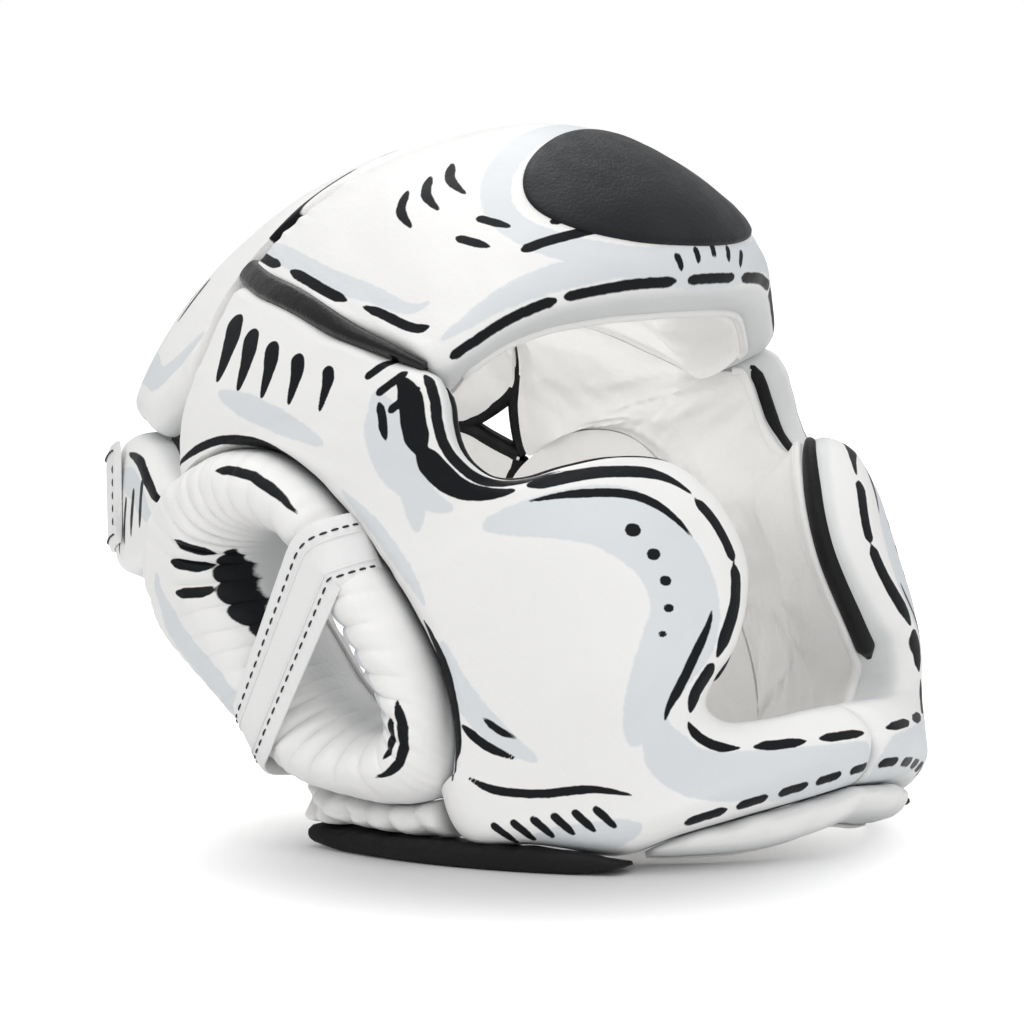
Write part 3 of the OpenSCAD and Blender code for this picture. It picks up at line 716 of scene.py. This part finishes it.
def forehead_art(c):
    """Generic brow stripes, side chevrons and a halo round the bare badge."""
    def both_runs(s0, s1, n, mm, width, tone, thin):
        for ends in ((s0, s1), (1 - s1, 1 - s0)):
            c.stroke(FOREHEAD.at(np.linspace(*ends, n), mm), width, tone, (thin, thin))

    c.stroke(FOREHEAD.at(np.linspace(0.25, 0.75, 60), 8.5), 8, "shade", (0.2, 0.2))
    for s0, s1, mm, wide in ((0.252, 0.365, 2.8, 2.5), (0.372, 0.465, 3, 2.4), (0.475, 0.525, 3, 2.2),
                             (0.35, 0.44, 20, 3.4), (0.385, 0.44, 26, 2.8)):
        both_runs(s0, s1, 20, mm, wide, "ink", 0.06)
    for s0, s1, wide in ((0.02, 0.075, 3.4), (0.09, 0.15, 3.6), (0.165, 0.24, 3.2)):
        both_runs(s0, s1, 16, 14.5, wide, "ink", 0.15)
    for k in (-2, -1, 0, 1, 2):
        c.stroke([[4.5 * k, 43.5 - abs(k)], [4.0 * k, 39.5 - abs(k)]], 2.6, thin=(0.1, 0.4))
    halo = np.linspace(0, 2 * math.pi, 80)
    c.stroke(badge_place(1.19, halo), 9.5, "shade", (0, 0))
    for side in (-1, 1):
        for k in range(3):
            t, v = 40 + 6.5 * k, 103 - 3 * k
            c.stroke([[side * t, v], [side * (t + 2.5), v - 9], [side * (t + 1), v - 19]],
                     3.4, thin=(0.25, 0.4))
        for k in range(2):
            t, v = 41 + 5 * k, 72 - 5 * k
            c.stroke([[side * t, v], [side * (t - 5), v - 8]], 3.2, thin=(0.2, 0.4))
        ends = (0.02, 0.25) if side < 0 else (0.75, 0.98)
        c.stroke(FOREHEAD.at(np.linspace(*ends, 30), 22), 7, "shade", (0.2, 0.4))


def crown_art(c):
    for s0, s1 in ((0.12, 0.3), (0.34, 0.48), (0.52, 0.66), (0.7, 0.88)):
        c.stroke(CROWN.at(np.linspace(s0, s1, 20), 14), 3.4, thin=(0.3, 0.3))
    for side in (-1, 1):
        for k in range(3):
            t, v = 150 - 9 * k, 92 + 3 * k
            c.stroke([[side * t, v], [side * (t + 4), v - 16]], 4.4, thin=(0.15, 0.4))
    c.stroke(CROWN.at(np.linspace(0.15, 0.85, 60), 18, from_b=True), 12, "shade", (0.2, 0.2))


def wing_art(c):
    c.stroke(WING.at(np.linspace(0.02, 0.5, 20), 8), 4.2, thin=(0.2, 0.4))
    c.stroke(WING.at(np.linspace(0.06, 0.62, 20), 17), 10, "shade", (0.3, 0.4))
    for k in range(4):
        c.stroke([[131 + 4.4 * k, 28 - 1.2 * k], [134 + 4.4 * k, 14 - 1.2 * k]], 3.0, thin=(0.15, 0.4))


def badge_place(k, angle):
    """[t, v] on the forehead at share k of the badge's size and an angle round it."""
    angle = np.asarray(angle, float)
    v = BADGE_V + BADGE_H / 2 * k * np.sin(angle)
    across = float(reach(way(np.array([0.0, BADGE_V + 4])))) * math.cos((BADGE_V + 4) / DOME)
    return np.stack([np.degrees(BADGE_W / 2 * k * np.cos(angle) / across), v], -1)


def plain(c):
    """No line art."""


def drawn(art):
    canvas = Canvas()
    art(canvas)
    return canvas


def panel_layers(prefix, panel, side, ns, nw, art, seed, folds, pucker=0.05):
    cover(prefix + "_leather", panel, (prefix + "_cover", prefix + "_foam"), side, ns, nw, art,
          leather_relief(seed, pucker), WHITE)
    lining(prefix + "_lining_leather", panel, (prefix + "_lining",), side, seed, folds)


SIDES = (("right", -1), ("left", 1))
panel_layers("forehead", FOREHEAD, 1, 420, 190, forehead_art, 2.0, 2.4)
panel_layers("crown", CROWN, 1, 300, 150, crown_art, 5.0, 2.8)
for word, sign in SIDES:
    panel_layers(word + "_side", SIDE, sign, 440, 212, side_art, 7.0 + sign, 2.8)
    panel_layers(word + "_wing", WING, sign, 110, 60, wing_art, 11.0 + sign, 1.4)
panel_layers("chin_cup", CUP, 1, 220, 44, plain, 17.0, 0.4, 0.16)


# Ear rings

RING_ROLL = 16.0
HOLE_ROLL = 17.0
RING_LIP = 0.4
HOLE_LIP = 0.2
RING_TURN = ((1.6, 0.0), (0.4, 0.3), (0.0, 0.7))  # mm in, share of the lip's height


def ring_at(a, q):
    outer, inner = round_loop(RING_LINE, a), round_loop(HOLE_LINE, a)
    return outer + (inner - outer) * np.asarray(q)[..., None]


def ring_wide(a):
    gap = on_head(round_loop(RING_LINE, a), PAD) - on_head(round_loop(HOLE_LINE, a), PAD)
    return np.linalg.norm(gap, axis=-1)


def ring_h(e, wide):
    return EAR_PAD * roll(e, RING_ROLL, RING_LIP) * roll(wide - e, HOLE_ROLL, HOLE_LIP)


def ring_relief(a, e, wide):
    """Pleats that fan out from the ear hole, and softer puckers along the outer seam."""
    turn = 2 * math.pi * a
    drift = 0.5 * noise(a * 7, e / 16, 31)
    pleat = np.abs(np.sin(17 * turn + 1.3 * np.sin(3 * turn) + drift)) ** 0.55 - 0.6
    deep = 0.65 + 0.35 * noise(a * 11, a * 0 + 2, 4)
    near_hole = np.exp(-np.maximum(0, wide - e - 3) / 10.0)
    outer = (np.abs(np.sin(29 * turn + 2 * np.sin(5 * turn))) - 0.5) * np.exp(-e / 5.0)
    return (0.19 * pleat * deep * near_hole + 0.05 * outer
            + 0.020 * noise(a * 22, e / 14, 12) + 0.012 * noise(a * 60, e / 9, 15))


def ring_art(c):
    def arc(a0, a1, q, width, tone="ink", thin=(0.12, 0.3)):
        a = np.linspace(a0, a1, 24) / len(RING_LINE)
        c.stroke(ring_at(a, np.full_like(a, q)), width, tone, thin)

    arc(13.6, 17.0, 0.93, 4.0, thin=(0.3, 0.3))
    arc(4.0, 6.4, 0.90, 3.4)
    arc(6.3, 8.6, 0.40, 3.0)
    arc(6.7, 8.1, 0.56, 2.6)
    arc(1.0, 3.0, 0.28, 2.8)
    arc(12.0, 15.5, 0.42, 9, "shade")
    arc(4.4, 7.6, 0.80, 7, "shade")
    for k in range(3):
        a = (15.2 + 0.75 * k) / len(RING_LINE)
        c.stroke(ring_at(np.full(6, a), np.linspace(0.62, 0.86, 6)), 3.2, thin=(0.3, 0.12))


def ear_ring(word, side):
    a = np.arange(420) / 420
    q = np.concatenate([np.zeros(len(RING_TURN)), spread(76, 0.8), np.ones(len(RING_TURN))])
    ag, qg = np.meshgrid(a, q, indexing="ij")
    wide = ring_wide(ag)
    core = inset(qg, wide)
    e = core * wide
    h = ring_h(e, wide) * (1 + ring_relief(ag, e, wide))
    turn_in(core, h, wide, RING_TURN)
    place = ring_at(ag, core)
    ab, qb = np.meshgrid(a, 0.03 + 0.94 * np.linspace(1, 0, 8)[1:-1], indexing="ij")
    under = on_head(ring_at(ab, qb), np.zeros_like(ab))
    section = np.concatenate([on_head(place, h), under], 1)
    piece = mesh_object(word + "_ear_ring_leather", placed(section, side), loop_faces(section), WHITE)
    ref = np.concatenate([on_head(place, np.full_like(h, PAD)), under + OFF_CANVAS], 1)
    drawn(ring_art).write(piece.data, ref.reshape(-1, 3))
    near = np.minimum(e, wide - e)
    # Distances to the ring's edges, which the printed leather darkens into painted shade near the seams;
    # the underside stays clear of it
    write_layer(piece.data, "edge", np.concatenate([near, np.zeros_like(ab) + 9], 1).ravel())
    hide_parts(word + "_ear_ring_cover", word + "_ear_ring_foam")

    ql = np.array([0.01, 0.2, 0.5, 0.8, 0.99])
    al, qi = np.meshgrid(a[::2], np.concatenate([ql, ql[::-1]]), indexing="ij")
    drop = np.where(np.arange(2 * len(ql)) < len(ql), LAYER_GAP, LAYER_GAP + LINING_T)
    wave = 0.5 * (1 + noise(al * 40, qi * 2, 6)) * np.where(drop > LAYER_GAP, 1, 0)
    shell = surface(ring_at(al, qi), -drop[None] - wave, side)
    back = mesh_object(word + "_ear_ring_lining_leather", shell, loop_faces(shell), LINING)
    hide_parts(word + "_ear_ring_lining")


# Straps, bands, tapes and stitches

def ribbon(name, centre, half, out, thick, material, body="shell", across=9, edge=0.9, crown=0.0):
    """A closed strap along centre (n, 3), half wide towards side vectors, out its outward way.
    Its long edges are rounded over edge mm and its middle stands crown mm proud."""
    sideways, out = side_ways(centre, out)
    x = spread(across, 0.5) * 2 - 1
    half = np.broadcast_to(half, (len(centre),))
    lift = thick - edge * np.abs(x) ** 8 + crown * (1 - x * x)
    base = centre[:, None] + sideways[:, None] * (x[None, :, None] * half[:, None, None])
    points = [base + out[:, None] * rise[None, :, None] for rise in (lift, 0.35 * edge * np.abs(x) ** 8)]
    return mesh_object(name, points, slab_faces(len(centre), across, across), material, body), out


def stitches(name, rows, body="shell", length=3.2, pitch=4.4, wide=0.8, high=0.55):
    """Thread stitches along rows, each (points, outward ways): short rounded beads of thread."""
    points, faces = [], []
    for line, out in rows:
        run = run_of(line)
        for mid in np.arange(pitch, run[-1] - pitch / 2, pitch):
            at = np.stack([np.interp(mid + d, run, line[:, i]) for d in (-length / 2, 0, length / 2)
                           for i in range(3)]).reshape(3, 3)
            up = np.array([np.interp(mid, run, out[:, i]) for i in range(3)])
            up /= np.linalg.norm(up)
            ahead = (at[2] - at[0]) / np.linalg.norm(at[2] - at[0])
            across = np.cross(up, ahead)
            o = len(points)
            for k, (far, fat, sink) in enumerate(((-0.5, 0.35, -0.35), (-0.3, 0.9, 0.1), (0, 1, 0.3),
                                                  (0.3, 0.9, 0.1), (0.5, 0.35, -0.35))):
                mid_p = at[1] + (at[2] - at[0]) * far + up * sink * high
                for angle in np.arange(6) * math.pi / 3:
                    points.append(mid_p + fat * (across * math.cos(angle) * wide / 2
                                                 + up * math.sin(angle) * high / 2))
            faces += grid_faces(5, 6, o, wrap_m=True)
            faces += [list(range(o + 5, o - 1, -1)), list(range(o + 24, o + 30))]
    return mesh_object(name, points, faces, THREAD_DARK, body)


def beside(line, out, mm):
    """The line shifted mm sideways over the surface."""
    return line + side_ways(line, out)[0] * mm


STRAP_FRONT = 3.8 / len(RING_LINE)
STRAP_REAR = 11.8 / len(RING_LINE)


def ear_strap(word, side):
    """Up one side of the ring, over the hole and down the other, with two stitched edges."""
    climb = np.array([0, 0.015, 0.04, 0.08, 0.14, 0.22, 0.32, 0.42])

    def end(a):
        wide = ring_wide(np.full_like(climb, a))
        e = np.maximum(climb * wide, SEAM_GAP / 2)
        return on_head(ring_at(np.full_like(climb, a), climb), ring_h(e, wide) + 0.9)

    knots = np.concatenate([end(STRAP_FRONT), end(STRAP_REAR)[::-1]])
    run = run_of(knots)
    fine = np.linspace(0, run[-1], 90)
    line = smoothed(np.stack([np.interp(fine, run, knots[:, i]) for i in range(3)], 1), 3)
    flat = line * np.array([side, 1, 0])
    out = turned(flat / np.linalg.norm(flat, axis=1)[:, None])
    line = placed(line, side)
    piece, out = ribbon(word + "_ear_strap_leather", line, EAR_STRAP_W / 2, out, EAR_STRAP_T, STRAP)
    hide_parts(word + "_ear_strap")
    rows = [(beside(line + out * EAR_STRAP_T, out, d), out) for d in (-7.2, 7.2)]
    thread = stitches(word + "_ear_strap_stitches", rows, pitch=4.0, length=2.9)
    for k, d in enumerate((-4.9, 4.9)):
        path = beside(line + out * (EAR_STRAP_T + 0.05), out, d)
        rib, _ = ribbon(f"{word}_ear_strap_fold_{k}", path[2:-2], 0.45, out[2:-2], 0.35, STRAP,
                        across=3, edge=0.3)


def seam_band(word, side):
    """The glossy piping along the temple seam, full at the rear and thin at the temple."""
    s = np.linspace(0.0, 0.93, 90)
    q = unchart(along(chart(SEAM_LINE), s))
    seat = (PAD + bulge(q)) * roll(4.5, SEAM_ROLL, 0.5)
    line = placed(smoothed(on_head(q, seat - 2.2 - 2.4 * smooth(s, 0.8, 0.93)), 30), side)
    half = 4.8 - 3.2 * smooth(s, 0.35, 0.97)
    piece, _ = ribbon(word + "_seam_band_leather", line, half, outward_ways(q, side), 4.0, PATENT,
                      across=13, edge=2.4, crown=1.0)
    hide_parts(word + "_seam_band")


def gusset(word, side):
    def relief(x, y, distance):
        gather = np.abs(np.sin(x / 2.6 + 1.4 * noise(x / 12, y / 9, 22))) - 0.6
        return (0.24 * gather * np.exp(-distance / 9) + 0.20 * noise(x / 8, y / 7, 21)
                + 0.06 * noise(x / 15, y / 4, 23) - 0.12 * np.exp(-distance / 2.5))
    piece = cover(word + "_jaw_gusset_leather", GUSSET, (word + "_jaw_gusset",), side, 70, 40,
                  plain, relief, PLAIN_WHITE)


def jaw_binding(word, side):
    """The rolled black edge with the flat underside that the guard stands on."""
    t = np.linspace(110, 46, 90)
    section = [(0.06, 0), (0.3, 0), (0.7, 0), (0.94, 0), (1, 0.22), (1.01, 0.5), (0.98, 0.8),
               (0.88, 1), (0.5, 1.02), (0.12, 1), (0.02, 0.8), (-0.01, 0.5), (0, 0.22)]
    low = (PAD - BINDING_T) / 2
    run = np.linspace(0, 1, len(t))
    tip = np.minimum(smooth(run, -0.02, 0.045), smooth(1 - run, -0.02, 0.06))
    full = 0.35 + 0.65 * np.minimum(smooth(run, 0, 0.05), smooth(1 - run, 0, 0.1))
    full *= 1 + 0.05 * noise(run * 26, run * 0, 3)
    rings = []
    for share, height in section:
        h = low + (0.5 + (share - 0.5) * tip) * BINDING_T
        up = height * full
        v = jaw_v(t, h) * (1 - up) + (jaw_top(t) - LAYER_GAP) * up
        rings.append(on_head(np.stack([t, v], -1), h))
    shell = placed(np.stack(rings, 1), side)
    shell[..., 2] = np.maximum(shell[..., 2], 0)
    piece = mesh_object(word + "_jaw_binding_roll", shell, tube_faces(shell), BLACK)
    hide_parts(word + "_jaw_binding")


def badge():
    """A bare oval of black leather with a rounded edge."""
    ks = [0.001, 0.2, 0.4, 0.6, 0.8, 0.93, 0.985, 1.0]
    lifts = [BADGE_T] * 6 + [BADGE_T * 0.8, BADGE_T * 0.3]
    angle = np.linspace(0, 2 * math.pi, 96, endpoint=False)

    def ring(k, lift):
        q = badge_place(k, angle)
        return on_head(q, PAD + bulge(q) + LAYER_GAP + lift)

    rings = [ring(k, lift) for k, lift in zip(ks, lifts)] + [ring(k, -0.8) for k in ks[::-1]]
    shell = at_rest(np.stack(rings))
    piece = mesh_object("forehead_badge_leather", shell, loop_faces(shell), BADGE)
    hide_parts("forehead_badge")


def edge_piping(name, q, h, radius, side=1, material=BLACK):
    """A round leather piping along [t, v] places at padding height h."""
    line = surface(q, np.broadcast_to(h, (len(q),)), side)
    sideways, out = side_ways(line, outward_ways(q, side))
    shell = np.stack([line + radius * (sideways * math.cos(angle) + out * math.sin(angle))
                      for angle in np.arange(12) * math.pi / 6], 1)
    piece = mesh_object(name, shell, tube_faces(shell), material)


def white_piping(name, panel, start, end, count, side=1):
    """Pale piping where a panel's lining meets its cover at the eye opening."""
    run = np.linspace(start, end, count)
    edge_piping(name, panel.at(run, 0.9), panel.inner(run, run * 0) + 0.3, 1.5, side, PLAIN_WHITE)


def opening_band(word, side):
    """Black band on the opening's wall, thickest beside the cheek."""
    shares = (0.222, 0.24, 0.33, 0.37, 0.54, 0.62, 0.77, 0.795)
    run = np.linspace(shares[0], shares[-1], 150)
    thick = np.interp(run, shares, (0.7, 2.5, 2.5, 1.7, 1.7, 3.5, 3.5, 0.9))
    edge_piping(word + "_opening_band", SIDE.at(run, 0.45 * thick + 0.3),
                SIDE.inner(run, run * 0) + 4.6, thick[:, None], side)


def gap_edges(word, side):
    """Black bound edges round the triangular gap over the ear, on both faces of the padding."""
    share = np.linspace(0.105, 0.245, 40)
    crown = CROWN.at(share if side > 0 else 1 - share, 0.2, from_b=True)
    crown[:, 0] = np.abs(crown[:, 0])
    rear = SIDE.at(np.linspace(0.045, 0.110, 30), 0.2, from_b=True)
    edges = {"crown": crown, "side": rear,
             "wing_front": WING.place(np.full(30, 0.004), np.linspace(0.03, 0.97, 30)),
             "wing_top": WING.at(np.linspace(0.01, 0.36, 40), 0.2)}
    for name, q in edges.items():
        for k, (h, radius) in enumerate(((1.4, 3.2), (6.5, 3.2), (11.0, 2.6))):
            edge_piping(f"{word}_{name}_edge_{k}", q, h, radius, side)


# Rear closure

def strap_turn(mm):
    q = np.array([165.0, REAR_V])
    return math.degrees(mm / np.linalg.norm(on_head(q, WING_PAD)))


TAPE_LIFT = 2.5 * LAYER_GAP
STACK = TAPE_LIFT + 2 * TAPE_T + LAYER_GAP


def rear_line(t, h):
    q = np.stack([t, np.full_like(t, REAR_V)], -1)
    return at_rest(on_head(q, h)), turned(way(q))


def rear_closure():
    full = strap_turn(REAR_STRAP_L)
    t = STRAP_ROOT - np.linspace(-strap_turn(9), full, 130)
    s = (STRAP_ROOT - t) / full
    h = WING_PAD + LAYER_GAP + STACK * smooth(s, 0.08, 0.35)
    line, out = rear_line(t, h)
    half = REAR_STRAP_W / 2 * np.minimum(1, 0.72 + 1.4 * np.sqrt(np.maximum(0, 1 - s)))
    piece, out = ribbon("rear_strap_leather", line, half, out, STRAP_T, STRAP, body=None)
    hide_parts("rear_strap")
    start, end = strap_bend()
    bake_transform(piece)
    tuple(start)
    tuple(end)
    face, at = line + out * STRAP_T, 14.2
    rows = [(beside(face, out, d), out) for d in (-at, at)]
    across = np.stack([beside(face, out, d)[3] for d in np.linspace(-at, at, 12)])
    rows.append((across, np.repeat(out[3:4], len(across), 0)))
    thread = stitches("rear_strap_stitches", rows, body=None)
    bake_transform(thread)
    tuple(start)
    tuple(end)
    for name, skip, lift, half_w, body, material, slot in (
            ("rear_hook_tape_fuzz", 3, WING_PAD + STACK - TAPE_T, REAR_STRAP_W / 2 - 2, "closure", HOOK,
             "hook_tape"),
            ("rear_loop_tape_fuzz", 1, WING_PAD + TAPE_LIFT, REAR_STRAP_W / 2 - 1, "shell", LOOP,
             "loop_tape")):
        t = STRAP_ROOT - full + np.linspace(strap_turn(skip + HOOK_L), strap_turn(skip), 50)
        line, out = rear_line(t, np.full_like(t, lift))
        piece, _ = ribbon(name, line, half_w, out, TAPE_T, material, body)
        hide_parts(name[:-5])


def strap_bend():
    """Where the rear strap's bend starts and ends, a little either side of its sewn line."""
    t = STRAP_ROOT + np.array([strap_turn(2), -strap_turn(10)])
    line, _ = rear_line(t, np.full(2, WING_PAD + LAYER_GAP))
    return tuple(line[0] * MM), tuple(line[1] * MM)


badge()
for word, sign in SIDES:
    ear_ring(word, sign)
    ear_strap(word, sign)
    seam_band(word, sign)
    gusset(word, sign)
    jaw_binding(word, sign)
    gap_edges(word, sign)
for word, sign in SIDES:
    white_piping(word + "_opening_piping", SIDE, 0.215, 0.995, 160, sign)
    opening_band(word, sign)
white_piping("brow_piping", FOREHEAD, 0.262, 0.738, 130)
rear_closure()


# Stage, lights and camera

# Centre of the painted shadow on the floor, a little in front of the guard
PAINTED_SHADOW_CENTRE = (-0.079, -0.077, 0)


def plain_stage():
    """A white floor that keeps the guard's soft shadow and adds a painted shadow: away from a point in
    front of the guard it glows for the camera alone, and close to it the camera sees a greyer floor than
    the light does."""
    def build(tree):
        seen = node(tree, "ShaderNodeLightPath", {}).outputs["Is Camera Ray"]
        place = node(tree, "ShaderNodeTexCoord", {}).outputs["Object"]
        far = node(tree, "ShaderNodeVectorMath", {0: place, 1: PAINTED_SHADOW_CENTRE}, operation="DISTANCE")
        # Painted shadow: the camera-only glow is nil near the centre and full from 0.19 m out
        glow_outside_painted_shadow = math_node(tree, "MULTIPLY", seen, ramp(tree, far.outputs["Value"], 0.035, 0.19, 0.0, 0.9))
        # Painted shadow: the camera sees the floor at 0.62 of white, the lamps at 0.9
        tone = math_node(tree, "MULTIPLY_ADD", seen, -0.28, 0.9)
        floor = node(tree, "ShaderNodeBsdfPrincipled", {"Base Color": tone, "Roughness": 0.9})
        light = node(tree, "ShaderNodeEmission", {"Color": (1, 1, 1, 1), "Strength": glow_outside_painted_shadow})
        return node(tree, "ShaderNodeAddShader", {0: floor.outputs[0], 1: light.outputs[0]}).outputs[0]

    mesh = bpy.data.meshes.new("floor")
    r, z = 6.0, -0.0004
    mesh.from_pydata([(-r, -r, z), (r, -r, z), (r, r, z), (-r, r, z)], [], [(0, 1, 2, 3)])
    mesh.materials.append(shaded("stage_white_painted_shadow", build))
    link("floor", mesh)


def world_light(fill):
    """A white world that lights the guard less than it shows."""
    world = bpy.data.worlds.new("studio")
    bpy.context.scene.world = world
    tree = empty_tree(world)
    path = node(tree, "ShaderNodeLightPath", {}).outputs
    seen = math_node(tree, "MAXIMUM", path["Is Camera Ray"], path["Is Transmission Ray"])
    level = node(tree, "ShaderNodeMapRange", {"Value": seen, "To Min": fill, "To Max": 1.0})
    back = node(tree, "ShaderNodeBackground",
                {"Color": (1, 1, 1, 1), "Strength": level.outputs["Result"]})
    node(tree, "ShaderNodeOutputWorld", {"Surface": back.outputs["Background"]})


def toward(azimuth, elevation):
    """Direction from the guard at degrees of azimuth, from its face, and elevation."""
    a, e = math.radians(azimuth), math.radians(elevation)
    return Vector((math.sin(a) * math.cos(e), -math.cos(a) * math.cos(e), math.sin(e)))


def aim(thing, target, way_back, distance):
    thing.location = target + way_back * distance
    thing.rotation_euler = (-way_back).to_track_quat("-Z", "Y").to_euler()


def area_light(name, azimuth, elevation, distance, size, watts):
    light = bpy.data.lights.new(name, "AREA")
    light.size, light.energy = size, watts
    aim(link(name, light), Vector((0, 0, 0.1)), toward(azimuth, elevation), distance)


def point_light(name, place, size, watts):
    light = bpy.data.lights.new(name, "POINT")
    light.energy, light.shadow_soft_size = watts, size
    lamp = link(name, light)
    lamp.location = place
    lamp.visible_camera = False


def camera():
    """The photograph's view: from the wearer's right, a little in front, nearly level."""
    seen_at, frame_px, focal_px = 500.0, 1024.0, 4200.0
    data = bpy.data.cameras.new("camera")
    data.sensor_width = 36.0
    data.lens = focal_px / frame_px * data.sensor_width
    data.shift_x = (frame_px / 2 - seen_at) / frame_px
    data.shift_y = -data.shift_x
    data.clip_start, data.clip_end = 0.05, 30
    bpy.context.scene.camera = link("camera", data)
    aim(bpy.context.scene.camera, Vector((0, REST_Y * MM - 0.002, 0.103)), toward(-51, 5), 1.4)


plain_stage()
world_light(0.60)
for light in (("key", -95, 70, 1.6, 1.3, 9.2), ("fill", -35, 26, 2.0, 1.6, 6.6),
              ("far_side", 35, 40, 1.9, 1.2, 2.5), ("rim", 140, 60, 1.6, 1.0, 6.5)):
    area_light(*light)
point_light("head_space", (0.005, 0.0, 0.155), 0.045, 0.085)
camera()
bpy.context.scene.view_settings.view_transform = "Standard"
